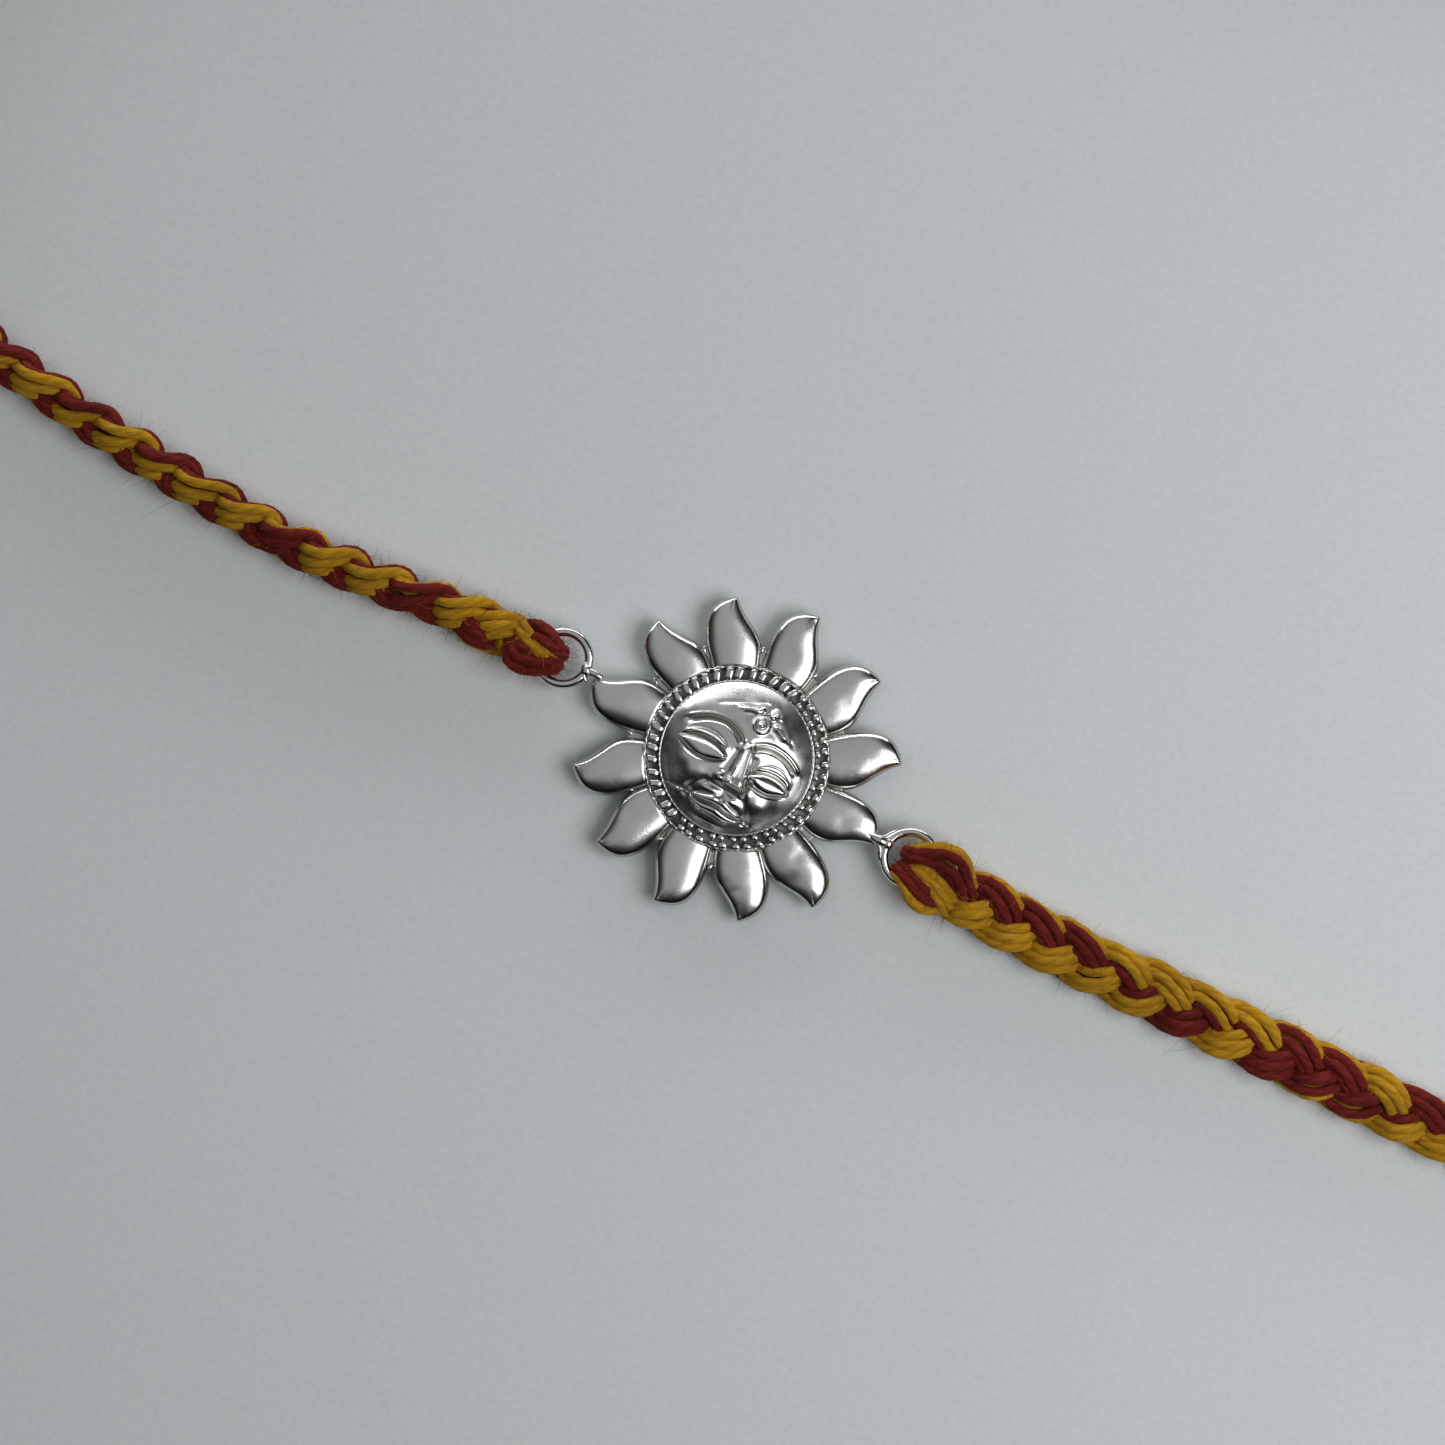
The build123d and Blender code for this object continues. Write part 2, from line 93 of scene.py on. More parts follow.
def wander(along, reach, phases):
    """A slow uneven wave, from about -1 to 1."""
    waves = 0
    for index, phase in enumerate(phases):
        waves = waves + np.sin(2 * math.pi * (along / (reach * (1 + 0.7 * index)) + phase))
    return waves / len(phases)


def turns(count):
    """Even angles round a circle."""
    return np.arange(count) * 2 * math.pi / count


def length_along(line):
    """How far along a line each of its points is."""
    step = np.linalg.norm(np.diff(line, axis=0), axis=1)
    return np.concatenate([[0], np.cumsum(step)])


def at_marks(marks, along, values):
    """What a line's values are at some lengths along it."""
    return np.stack([np.interp(marks, along, column) for column in values.T], axis=-1)


def at(angle, radius, height):
    """A place round a middle."""
    return (radius * math.cos(angle), radius * math.sin(angle), height)


def turned(x, y, z, angle):
    """Points turned round a middle."""
    c, s = math.cos(angle), math.sin(angle)
    return np.stack([x * c - y * s, x * s + y * c, z], axis=-1)


def between_rows(rows, columns):
    """Quads between rows of points, each row a closed loop."""
    row, column = np.meshgrid(np.arange(rows - 1), np.arange(columns), indexing="ij")
    after = (column + 1) % columns
    corners = [
        row * columns + column,
        row * columns + after,
        (row + 1) * columns + after,
        (row + 1) * columns + column,
    ]
    return np.stack(corners, axis=-1).reshape(-1, 4)


def skin(rows, shade_share=0.0, polish=0.0):
    """A surface through rows of points, with each row's share of painted shade and how polished it
    is.
    """
    rows = np.asarray(rows, float)
    count, columns = rows.shape[:2]
    part = {"points": rows.reshape(-1, 3), "faces": between_rows(count, columns)}
    for name, value in (("shade_share", shade_share), ("polish", polish)):
        value = np.asarray(value, float)
        if value.ndim == 1:
            value = value[:, None]
        part[name] = np.broadcast_to(value, (count, columns)).reshape(-1)
    return part


# A yarn is three plies, with grooves between them, and each shows again after this length
PLIES = 3
PLY_DEPTH = 0.07
PLY_LENGTH = 1.3


def frames_along(line, sideways):
    """The ways to the side and out, at each point of a line."""
    ahead = np.gradient(line, axis=0)
    ahead /= np.linalg.norm(ahead, axis=1)[:, None]
    side = sideways - ahead * np.sum(sideways * ahead, axis=1)[:, None]
    side /= np.linalg.norm(side, axis=1)[:, None]
    return side, np.cross(ahead, side)


def tube(line, radius, sides, sideways, plies=0.0):
    """A tube along a line, round or in plies, with its own map: round it, and mm along it."""
    line = np.asarray(line, float)
    radius = np.broadcast_to(radius, len(line))
    side, out = frames_along(line, np.broadcast_to(np.asarray(sideways, float), line.shape))
    turn = turns(sides)
    ring = np.cos(turn)[None, :, None] * side[:, None] + np.sin(turn)[None, :, None] * out[:, None]
    along = length_along(line)
    lobes = 1 + plies * np.cos(PLIES * turn[None, :] + 2 * math.pi * along[:, None] / PLY_LENGTH)
    part = skin(line[:, None] + (radius[:, None] * lobes)[..., None] * ring)
    row, column = np.meshgrid(np.arange(len(line) - 1), np.arange(sides), indexing="ij")
    around = np.stack([column, column + 1, column + 1, column], axis=-1) / sides
    length = np.stack([along[row], along[row], along[row + 1], along[row + 1]], axis=-1)
    part["map"] = np.stack([around, length], axis=-1).reshape(-1, 2)
    return part


def smooth_through(points, steps):
    """A soft line through points, with several steps between each two."""
    points = np.asarray(points, float)
    padded = np.concatenate([[2 * points[0] - points[1]], points, [2 * points[-1] - points[-2]]])
    before, start, end, after = padded[:-3], padded[1:-2], padded[2:-1], padded[3:]
    pieces = []
    for share in np.arange(steps) / steps:
        bend = 2 * before - 5 * start + 4 * end - after
        last = 3 * start - before - 3 * end + after
        value = 2 * start + (end - before) * share + bend * share ** 2 + last * share ** 3
        pieces.append(value / 2)
    line = np.stack(pieces, axis=1).reshape(-1, points.shape[1])
    return np.concatenate([line, points[-1:]])


def make_piece(name, parts, material, nodes, weld=False):
    """One smooth mesh from several parts, in place of CAD nodes."""
    starts = np.cumsum([0] + [len(part["points"]) for part in parts])
    points = np.concatenate([part["points"] for part in parts]) * MM
    faces = np.concatenate([part["faces"] + start for part, start in zip(parts, starts)])
    mesh = bpy.data.meshes.new(name)
    mesh.from_pydata(points.tolist(), [], faces.tolist())
    if "map" in parts[0]:
        layer = mesh.uv_layers.new(name="yarn")
        places = np.concatenate([part["map"] for part in parts])
        layer.data.foreach_set("uv", places.astype(np.float32).ravel())
    else:
        for kind in ("shade_share", "polish"):
            values = np.concatenate([part[kind] for part in parts])
            mesh.attributes.new(kind, "FLOAT", "POINT").data.foreach_set("value", values)
    if weld:
        work = bmesh.new()
        work.from_mesh(mesh)
        bmesh.ops.remove_doubles(work, verts=work.verts, dist=1e-7)
        work.to_mesh(mesh)
        work.free()
    mesh.polygons.foreach_set("use_smooth", [True] * len(mesh.polygons))
    mesh.materials.append(material)
    piece = bpy.data.objects.new(name, mesh)
    scene.collection.objects.link(piece)
    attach(piece, "root")
    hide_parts(*nodes)


# Materials

def linear(hex_colour):
    """An sRGB hex colour as linear light."""
    shares = [int(hex_colour[place:place + 2], 16) / 255 for place in (1, 3, 5)]
    light = [c / 12.92 if c <= 0.04045 else ((c + 0.055) / 1.055) ** 2.4 for c in shares]
    return (*light, 1.0)


def feed(tree, node, values, links):
    """Gives a node's sockets their values and what feeds them."""
    for name, value in (values or {}).items():
        node.inputs[name].default_value = value
    for name, source in (links or {}).items():
        tree.links.new(source, node.inputs[name])


def add_node(tree, kind, output, settings=None, values=None, links=None):
    """Adds a node, with its settings, its sockets' values and what feeds them."""
    made = tree.nodes.new("ShaderNode" + kind)
    for name, value in (settings or {}).items():
        setattr(made, name, value)
    feed(tree, made, values, links)
    return made.outputs[output]


def new_material(name):
    """An empty material with its shader, ready for links."""
    material = bpy.data.materials.new(name)
    material.use_nodes = True
    tree = material.node_tree
    return material, tree, tree.nodes["Principled BSDF"]


def satin_silver():
    """Pressed sterling silver: satin faces, polished edges, and painted shade in the hollows,
    between the rays and on their walls.
    """
    material, tree, shader = new_material("satin_silver")
    place = add_node(tree, "TexCoord", "Object")
    shade_share, polish = (
        add_node(tree, "Attribute", "Fac", {"attribute_name": name})
        for name in ("shade_share", "polish")
    )
    # clouds about 1.5 mm across, where the painted shade is heavier or lighter, and the satin's
    # grain, really about 0.05 mm, drawn 0.12 mm so that it shows
    clouds, grain = (
        add_node(
            tree, "TexNoise", "Fac", None, {"Scale": 1 / (size * MM), "Detail": detail},
            {"Vector": place},
        )
        for size, detail in ((1.5, 3.0), (0.12, 2.0))
    )
    uneven, satin = (
        add_node(
            tree, "MapRange", "Result", None,
            {"From Min": 0.3, "From Max": 0.7, "To Min": start, "To Max": end}, {"Value": clouds},
        )
        for start, end in ((0.75, 1.1), (0.22, 0.34))
    )
    # painted shade: how much of the dark colour each point gets, from its shade share and the
    # clouds
    painted_shade = add_node(
        tree, "Math", "Value", {"operation": "MULTIPLY", "use_clamp": True}, None,
        {0: shade_share, 1: uneven},
    )
    # the silver's own colour, mixed towards a dark painted shade colour
    colour = add_node(
        tree, "Mix", 2, {"data_type": "RGBA"}, {6: linear("#DEDDD9"), 7: linear("#2B2824")},
        {0: painted_shade},
    )
    rough = satin
    for share, end in ((polish, 0.13), (painted_shade, 0.5)):
        rough = add_node(tree, "Mix", 0, {"data_type": "FLOAT"}, {3: end}, {0: share, 2: rough})
    dents = add_node(
        tree, "Bump", "Normal", None, {"Strength": 0.3, "Distance": 0.07 * MM}, {"Height": clouds}
    )
    surface = add_node(
        tree, "Bump", "Normal", None, {"Strength": 0.5, "Distance": 0.009 * MM},
        {"Height": grain, "Normal": dents},
    )
    drawn = {"Base Color": colour, "Roughness": rough, "Normal": surface}
    feed(tree, shader, {"Metallic": 1.0}, drawn)
    return material


def cotton_yarn(name, main, light, shade, sheen):
    """Soft dyed cotton yarn: matt, with the ply's diagonal grooves, painted shade in them, and a
    loose fibre bloom.
    """
    material, tree, shader = new_material(name)
    place = add_node(tree, "TexCoord", "Object")
    on_yarn = add_node(tree, "UVMap", "UV", {"uv_map": "yarn"})
    split = add_node(tree, "SeparateXYZ", "X", None, None, {"Vector": on_yarn}).node.outputs
    # the plies' turns and lengths, and fibres, really 0.02 mm, drawn 0.1 mm wide and 0.8 mm long
    # so that they show
    ply_turns, ply_lengths, fibre_turns, fibre_lengths = (
        add_node(tree, "Math", "Value", {"operation": "MULTIPLY"}, {1: factor}, {0: split[way]})
        for way, factor in (
            ("X", 2 * math.pi * PLIES), ("Y", 2 * math.pi / PLY_LENGTH), ("X", 24.0), ("Y", 1.25)
        )
    )
    phase = add_node(
        tree, "Math", "Value", {"operation": "ADD"}, None, {0: ply_turns, 1: ply_lengths}
    )
    ply = add_node(tree, "Math", "Value", {"operation": "SINE"}, None, {0: phase})
    slant = add_node(
        tree, "Math", "Value", {"operation": "MULTIPLY_ADD"}, {1: 3.2},
        {0: split["Y"], 2: fibre_turns},
    )
    on_fibres = add_node(tree, "CombineXYZ", "Vector", None, None, {"X": slant, "Y": fibre_lengths})
    fibres = add_node(
        tree, "TexNoise", "Fac", None, {"Scale": 1.0, "Detail": 2.5, "Roughness": 0.6},
        {"Vector": on_fibres},
    )
    # the dye takes unevenly over 4 mm
    dye = add_node(
        tree, "TexNoise", "Fac", None, {"Scale": 1 / (4 * MM), "Detail": 2.0}, {"Vector": place}
    )
    # painted shade between the plies, pale where fibres stand up, and deeper where more dye went in
    deep, faded, uneven = (
        add_node(
            tree, "MapRange", "Result", None,
            {"From Min": low, "From Max": high, "To Min": start, "To Max": end}, {"Value": source},
        )
        for source, low, high, start, end in (
            (ply, -1.0, 0.2, 0.3, 0.0), (fibres, 0.4, 0.72, 0.0, 0.65), (dye, 0.35, 0.7, 0.0, 0.5)
        )
    )
    colour = add_node(
        tree, "Mix", 2, {"data_type": "RGBA"}, {6: linear(main), 7: linear(light)}, {0: faded}
    )
    # the shade colour gives both the uneven dye and the painted shade in the ply grooves
    for share in (uneven, deep):
        colour = add_node(
            tree, "Mix", 2, {"data_type": "RGBA"}, {7: linear(shade)}, {0: share, 6: colour}
        )
    plies = add_node(
        tree, "Bump", "Normal", None, {"Strength": 0.3, "Distance": 0.05 * MM}, {"Height": ply}
    )
    soft = add_node(
        tree, "Bump", "Normal", None, {"Strength": 0.55, "Distance": 0.06 * MM},
        {"Height": fibres, "Normal": plies},
    )
    matt = {
        "Roughness": 0.92, "Sheen Weight": sheen, "Sheen Roughness": 0.55,
        "Sheen Tint": linear(light), "Specular IOR Level": 0.2,
    }
    feed(tree, shader, matt, {"Base Color": colour, "Normal": soft})
    return material


def drawing_paper():
    """Matt pale grey paper, with the faint tooth of its surface, about 0.5 mm across."""
    material, tree, shader = new_material("drawing_paper")
    place = add_node(tree, "TexCoord", "Object")
    tooth = add_node(
        tree, "TexNoise", "Fac", None, {"Scale": 1 / (0.5 * MM), "Detail": 4.0}, {"Vector": place}
    )
    tone = add_node(
        tree, "Mix", 2, {"data_type": "RGBA"}, {6: linear("#DCDFE0"), 7: linear("#EEF0F0")},
        {0: tooth},
    )
    surface = add_node(
        tree, "Bump", "Normal", None, {"Strength": 0.3, "Distance": 0.04 * MM}, {"Height": tooth}
    )
    feed(tree, shader, {"Roughness": 0.95}, {"Base Color": tone, "Normal": surface})
    return material


# The face, in mm across and up from the sun's middle

DOME_RADIUS = 5.76
DOME_TOP = 3.4
DOME_CURVE = 9.338

BROWS = {
    -1: [
        (0.1, 1.2), (-0.35, 1.72), (-1.1, 2.1), (-2.1, 2.28), (-3.3, 1.98), (-4.4, 1.3),
        (-5.1, 0.62),
    ],
    1: [(0.45, 1.2), (0.8, 1.62), (1.4, 1.95), (2.2, 2.12), (3.3, 2.0), (4.3, 1.55), (5.0, 0.95)],
}
EYES = {-1: (-2.62, -0.12, 2.0), 1: (3.02, -0.2, 1.72)}
HAIRLINES = {
    -1: [(-0.2, 4.25), (-1.3, 4.0), (-2.5, 3.45), (-3.6, 2.75)],
    1: [(0.75, 4.25), (1.7, 3.85), (2.6, 3.25), (3.5, 2.6)],
}
SMILE_LINES = {
    -1: [(-0.85, -2.35), (-1.6, -2.85), (-2.2, -3.6), (-2.35, -4.3)],
    1: [(1.65, -2.35), (2.3, -2.85), (2.8, -3.6), (2.9, -4.3)],
}
# Soft round forms: how far each stands out, its middle, and how far it reaches
FORMS = [
    (0.5, (-2.75, -2.3), (1.3, 1.2)), (0.5, (3.25, -2.35), (1.3, 1.2)),  # cheeks
    (0.4, (-0.4, -1.85), (0.48, 0.42)), (0.4, (1.6, -1.85), (0.48, 0.42)),  # the nose's wings
    (0.2, (0.8, -1.8), (0.5, 0.4)), (-0.14, (0.3, -2.5), (1.2, 0.2)),  # its tip, and under it
    (0.2, (-0.75, -3.02), (0.75, 0.32)), (0.22, (1.25, -3.08), (0.6, 0.32)),  # over the lips
    (-0.12, (0.38, -3.0), (0.2, 0.4)), (0.26, (0.4, -3.7), (2.3, 1.1)),
    (-0.2, (-2.0, -3.95), (0.4, 0.4)), (-0.2, (2.8, -3.95), (0.4, 0.4)),  # the mouth's corners
    (0.2, (0.5, -5.2), (1.1, 0.45)),  # the chin
]


def from_line(across, up, points):
    """The distance to a drawn line, positive on its left, and the share along it."""
    line = smooth_through(points, 6)
    nearest = np.full(across.shape, 1e9)
    signed = np.zeros(across.shape)
    share = np.zeros(across.shape)
    count = len(line) - 1
    for index in range(count):
        start, way = line[index], line[index + 1] - line[index]
        x, y = across - start[0], up - start[1]
        along = np.clip((x * way[0] + y * way[1]) / (way @ way), 0, 1)
        distance = np.hypot(x - along * way[0], y - along * way[1])
        closer = distance < nearest
        nearest = np.where(closer, distance, nearest)
        left = way[0] * y - way[1] * x >= 0
        signed = np.where(closer, np.where(left, distance, -distance), signed)
        share = np.where(closer, (index + along) / count, share)
    return signed, share


def bump(across, up, middle, reach):
    """A soft round swelling, 1 in its middle."""
    x, y = (across - middle[0]) / reach[0], (up - middle[1]) / reach[1]
    return np.exp(-(x * x + y * y))


def swept(across, up, points, width, ends=0.15):
    """A soft ridge along a drawn line, which fades at the line's ends."""
    signed, share = from_line(across, up, points)
    return peak(signed, width) * shown(share, 0, ends, 1 - ends, 1)


def brow_relief(across, up, side):
    """A crisp brow ridge with the engraved groove under it."""
    signed, share = from_line(across, up, BROWS[side])
    below = signed * side
    ridge = 0.13 * peak(below, 0.15)
    groove = -0.26 * peak(below + 0.33, 0.2)
    forehead = 0.08 * shown(below, -0.1, 0.35, 0.4, 2.2)
    return (ridge + groove + forehead) * shown(share, 0.0, 0.1, 0.82, 1)


def eye_relief(across, up, side):
    """A closed almond eye with its lid, in a shallow socket."""
    middle, level, half = EYES[side]
    x = (across - middle) / half
    y = up - level - 0.1 * x
    bow = np.clip(1 - x * x, 0, None)
    # the ball under the closed lid, and the dark line round it
    from_ball = (y + 0.42) / (0.64 * bow ** 0.7 + 0.02)
    ball = 0.36 * np.clip(1 - from_ball ** 2, 0, None) * rise(bow, 0.0, 0.3)
    round_ball = -0.13 * peak(np.abs(from_ball) - 1.14, 0.2) * rise(bow, 0.02, 0.3)
    lid = 0.17 * peak(y - 0.6 * bow ** 0.8, 0.28) * rise(bow, 0.02, 0.4)
    creases = 0
    for step in (0.5, 0.8, 1.08):
        creases = creases - 0.05 * peak(y - step * bow ** 0.8, 0.065) * rise(bow, 0.05, 0.4)
    socket = -0.2 * bump(across, up, (middle, level + 0.1), (half * 1.15, 1.25))
    return socket + ball + round_ball + lid + creases


def nose_relief(across, up):
    """A long straight nose with a flat ridge."""
    down = np.clip((1.25 - up) / 3.25, 0, 1)
    middle = 0.48 + 0.4 * down
    half_ridge = 0.2 + 0.26 * down
    half_foot = 0.42 + 0.5 * down
    height = (0.34 + 0.66 * down) * shown(up, -2.25, -1.85, 1.1, 1.7)
    distance = np.abs(across - middle)
    ridge = height * (1 - rise(distance, half_ridge, half_foot + 0.12))
    edges = 0.07 * peak(distance - half_ridge, 0.1) * shown(up, -2.1, -1.8, 0.9, 1.3)
    total = ridge + edges
    for side in (-1, 1):
        fold = [(0.45 + side * 0.65, 0.9), (0.55 + side * 0.9, -0.4), (0.7 + side * 1.2, -1.4)]
        total = total - 0.12 * swept(across, up, fold, 0.3)
    return total


def mouth_relief(across, up):
    """Two full lips with a deep line between them."""
    x = (across - 0.42) / 2.15
    bow = np.clip(1 - x * x, 0, None)
    parting = -3.95 - 0.1 * np.abs(x) + 0.05 * np.cos(x * 6)
    upper_half = 0.37 * bow ** 0.7 + 0.02
    lower_half = 0.44 * bow ** 0.6 + 0.02
    upper = np.clip(1 - ((up - parting - upper_half) / upper_half) ** 2, 0, None)
    lower = np.clip(1 - ((up - parting + lower_half) / lower_half) ** 2, 0, None)
    lips = 0.36 * upper * (1 - 0.3 * peak(x, 0.12)) + 0.4 * lower
    gap = -0.2 * peak(up - parting, 0.1) * rise(bow, 0, 0.25)
    return lips + gap


def forehead_relief(across, up):
    """The ringed dot, its leaves, and the hair's edge."""
    total = 0
    for side in (-1, 1):
        signed, share = from_line(across, up, HAIRLINES[side])
        total = total - 0.06 * peak(signed, 0.12) * shown(share, 0.02, 0.2, 0.7, 1)
    dot = np.hypot(across - 0.42, up - 3.12)
    total = total + 0.28 * peak(dot, 0.27) + 0.2 * peak(dot - 0.58, 0.14)
    leaves = [
        [(0.05, 3.8), (-0.7, 3.85), (-1.95, 3.3)],
        [(0.25, 3.85), (0.05, 4.15), (-0.25, 4.6)],
        [(0.65, 3.8), (1.0, 4.15), (1.25, 4.6)],
        [(0.95, 3.5), (1.9, 3.35), (2.95, 2.75)],
    ]
    for leaf in leaves:
        total = total + 0.34 * swept(across, up, leaf, 0.3, 0.3)
    return total


def face_relief(across, up):
    """How far the face stands out of the smooth dome."""
    total = nose_relief(across, up) + mouth_relief(across, up) + forehead_relief(across, up)
    for side in (-1, 1):
        total = total + brow_relief(across, up, side) + eye_relief(across, up, side)
        total = total - 0.14 * swept(across, up, SMILE_LINES[side], 0.28)
    for height, middle, reach in FORMS:
        total = total + height * bump(across, up, middle, reach)
    edge = 1 - rise(np.hypot(across, up), 5.2, 5.85)
    return total * edge


def dome_height(radius):
    """The smooth dome's height above the sun's back."""
    return DOME_TOP - DOME_CURVE + np.sqrt(np.clip(DOME_CURVE ** 2 - radius ** 2, 0, None))


# The sun's metal

SEGMENTS = 320
RAY_COUNT = 12
BEAD_COUNT = 46
RING_PLACE = 15.075
RING_CENTRE_LINE = 1.975
RING_WIRE = 0.7
RING_LIFT = 0.6
# The disc's section, from its middle underneath, round its edge, to the foot of the dome: radius,
# height, and its share of painted shade, dark under the dome, between the rays and in the channel
DISC_SECTION = [
    (0.0, 2.85, 0.75), (1.5, 2.73, 0.75), (3.0, 2.36, 0.75), (4.5, 1.71, 0.75), (5.5, 1.05, 0.75),
    (6.2, 0.45, 0.75), (6.6, 0.0, 0.75), (7.6, 0.0, 0.3), (8.3, 0.0, 0.3), (8.38, 0.1, 0.3),
    (8.38, 0.36, 0.3), (8.34, 0.44, 0.3), (8.28, 0.46, 0.35), (8.2, 0.46, 0.45), (7.8, 0.46, 0.45),
    (7.4, 0.46, 0.45), (7.02, 0.46, 0.45), (6.99, 0.6, 0.45), (6.97, 0.9, 0.3), (6.92, 1.06, 0.15),
    (6.86, 1.06, 0.4), (6.78, 0.92, 0.9), (6.62, 0.88, 0.9), (6.3, 0.88, 0.9), (6.0, 0.9, 0.9),
    (5.88, 0.98, 0.9), (5.82, 1.2, 0.3),
]
# How far apart the dome's rows are, and how far off higher metal is looked for
DOME_STEP = 0.075
HOLLOW_REACH = 0.17
# Where the beads stand: long ones in one row, or worn ones in two
BEAD_ROW = 6.38
WORN_ROWS = (6.12, 6.68)
# The border's two twisted rims: radius, wire, height, twists, and how deep they are
RIMS = [(6.93, 0.1, 1.04, 76, 0.3), (5.8, 0.09, 1.34, 90, 0.15)]


def on_sun(points):
    """From the sun's own middle and back to the bracelet's frame."""
    return np.asarray(points, float) + np.array([SUN_X, SUN_Y, SUN_BACK])


def round_row(radius, height, count=SEGMENTS):
    """One loop round the sun's middle."""
    turn = turns(count)
    height = np.broadcast_to(height, count)
    return np.stack([radius * np.cos(turn), radius * np.sin(turn), height], axis=-1)


def sun_disc():
    """The plate, the border's channel and the domed face, hollow from behind."""
    rows = [round_row(radius, height) for radius, height, _ in DISC_SECTION]
    shade_share = [np.full(SEGMENTS, hollow) for _, _, hollow in DISC_SECTION]
    polish = [np.zeros(SEGMENTS)] * len(DISC_SECTION)
    turn = turns(SEGMENTS)
    for radius in np.concatenate([np.arange(DOME_RADIUS, 0.1, -DOME_STEP), [0.0]]):
        across, up = radius * np.cos(turn), radius * np.sin(turn)
        height = dome_height(radius) + face_relief(across, up)
        rows.append(np.stack([across, up, height], axis=-1))
        near = [
            face_relief(across + HOLLOW_REACH * math.cos(way), up + HOLLOW_REACH * math.sin(way))
            for way in turns(8)
        ]
        # painted shade where the face's relief is hollow, and polish where it stands out
        hollow = np.mean(near, axis=0) - face_relief(across, up)
        shade_share.append(0.75 * rise(hollow, 0.012, 0.08))
        polish.append(rise(-hollow, 0.004, 0.03))
    return skin(on_sun(rows), shade_share, polish)


def bezier(corners, share):
    """Points on a curve with four corners."""
    corners = np.asarray(corners, float)
    share = np.asarray(share)[:, None]
    rest = 1 - share
    weights = [rest ** 3, 3 * rest ** 2 * share, 3 * rest * share ** 2, share ** 3]
    return sum(weight * corner for weight, corner in zip(weights, corners))


# A ray's sides, along it and clockwise from its middle line
TRAILING_SIDE = [(6.4, -1.7), (9.3, -2.5), (11.9, -2.85), (12.35, -0.05)]
LEADING_SIDE = [(6.4, 1.69), (9.6, 2.68), (9.7, 0.98), (12.3, 0.25)]
# How each ray was pressed and trimmed: turned by degrees, drawn out, and its sides' fullness
RAYS = [
    (-1.5, 1.0, 1.0, 1.03), (-1.5, 1.01, 1.0, 1.1), (-1.5, 1.0, 1.0, 1.06), (0.0, 1.0, 0.97, 1.03),
    (0.5, 0.985, 1.0, 1.0), (0.0, 0.97, 0.97, 1.0), (1.5, 1.0, 1.0, 1.03), (3.0, 1.0, 1.05, 1.0),
    (1.5, 1.0, 1.03, 1.0), (0.5, 1.01, 1.1, 0.98), (1.0, 1.0, 1.0, 0.97), (-2.5, 1.03, 1.0, 1.0),
]
# The ray's section: how far in from its outline, and how high
RAY_SECTION = [
    (0.0, 0.34), (0.02, 0.42), (0.05, 0.51), (0.09, 0.61), (0.14, 0.7), (0.22, 0.8), (0.34, 0.91),
    (0.48, 1.01), (0.66, 1.12), (0.84, 1.21), (1.02, 1.28), (1.3, 1.36),
]
# A ray's rows of points, from its middle line underneath, round its edge, to that line on top: how
# far in from the outline, how high if not by the section, its share of painted shade (dark
# underneath, and a dark band on the steep wall), and how polished
RAY_ROWS = [
    (math.inf, 0.78, 0.8, 0), (1.0, 0.72, 0.5, 0), (0.75, 0.5, 0.5, 0), (0.55, 0.12, 0.5, 0),
    (0.5, 0, 0.5, 0), (0.08, 0, 0.5, 0), (0, 0.06, 0.5, 0), (0, 0.3, 0.2, 0.8),
    (0.02, None, 0, 1), (0.05, None, 0.1, 0.8), (0.09, None, 0.45, 0.5), (0.14, None, 0.4, 0.6),
    (0.21, None, 0.1, 0.9), (0.33, None, 0, 0.9), (0.48, None, 0, 0.6), (0.7, None, 0, 0.3),
    (0.95, None, 0, 0.15), (1.3, None, 0, 0.05), (1.8, None, 0, 0), (2.6, None, 0, 0),
    (3.8, None, 0, 0), (5.6, None, 0, 0), (math.inf, None, 0, 0),
]
SIDE_STEPS = 56
ROOT_STEPS = 16
ROOT_RADIUS = 5.64
# The root is kept inside the plate, between these distances from the sun's middle
ROOT_START, ROOT_END = 6.25, 6.62
# Places where a ray was knocked: ray, place along and across it, size, and depth
KNOCKS = [
    (10, 10.0, 0.3, 0.45, 0.05), (10, 9.3, 0.95, 0.4, 0.04), (11, 9.9, 0.5, 0.75, 0.12),
    (11, 8.4, -0.6, 0.5, 0.05), (8, 9.0, 0.6, 0.6, 0.07), (3, 8.6, -0.3, 0.6, 0.06),
    (5, 9.8, -0.6, 0.35, 0.05), (2, 9.2, 0.4, 0.6, 0.05), (0, 9.4, 0.2, 0.6, 0.07),
]


def dents(index, along, across):
    """How much a ray's knocks and its slight unevenness change its height."""
    change = 0.012 * np.sin(2.1 * along + index * 1.7) * np.sin(1.9 * across + index)
    for which, middle, side, size, depth in KNOCKS:
        if which == index:
            away = (along - middle) ** 2 + (across - side) ** 2
            change = change - depth * np.exp(-away / size ** 2)
    return change


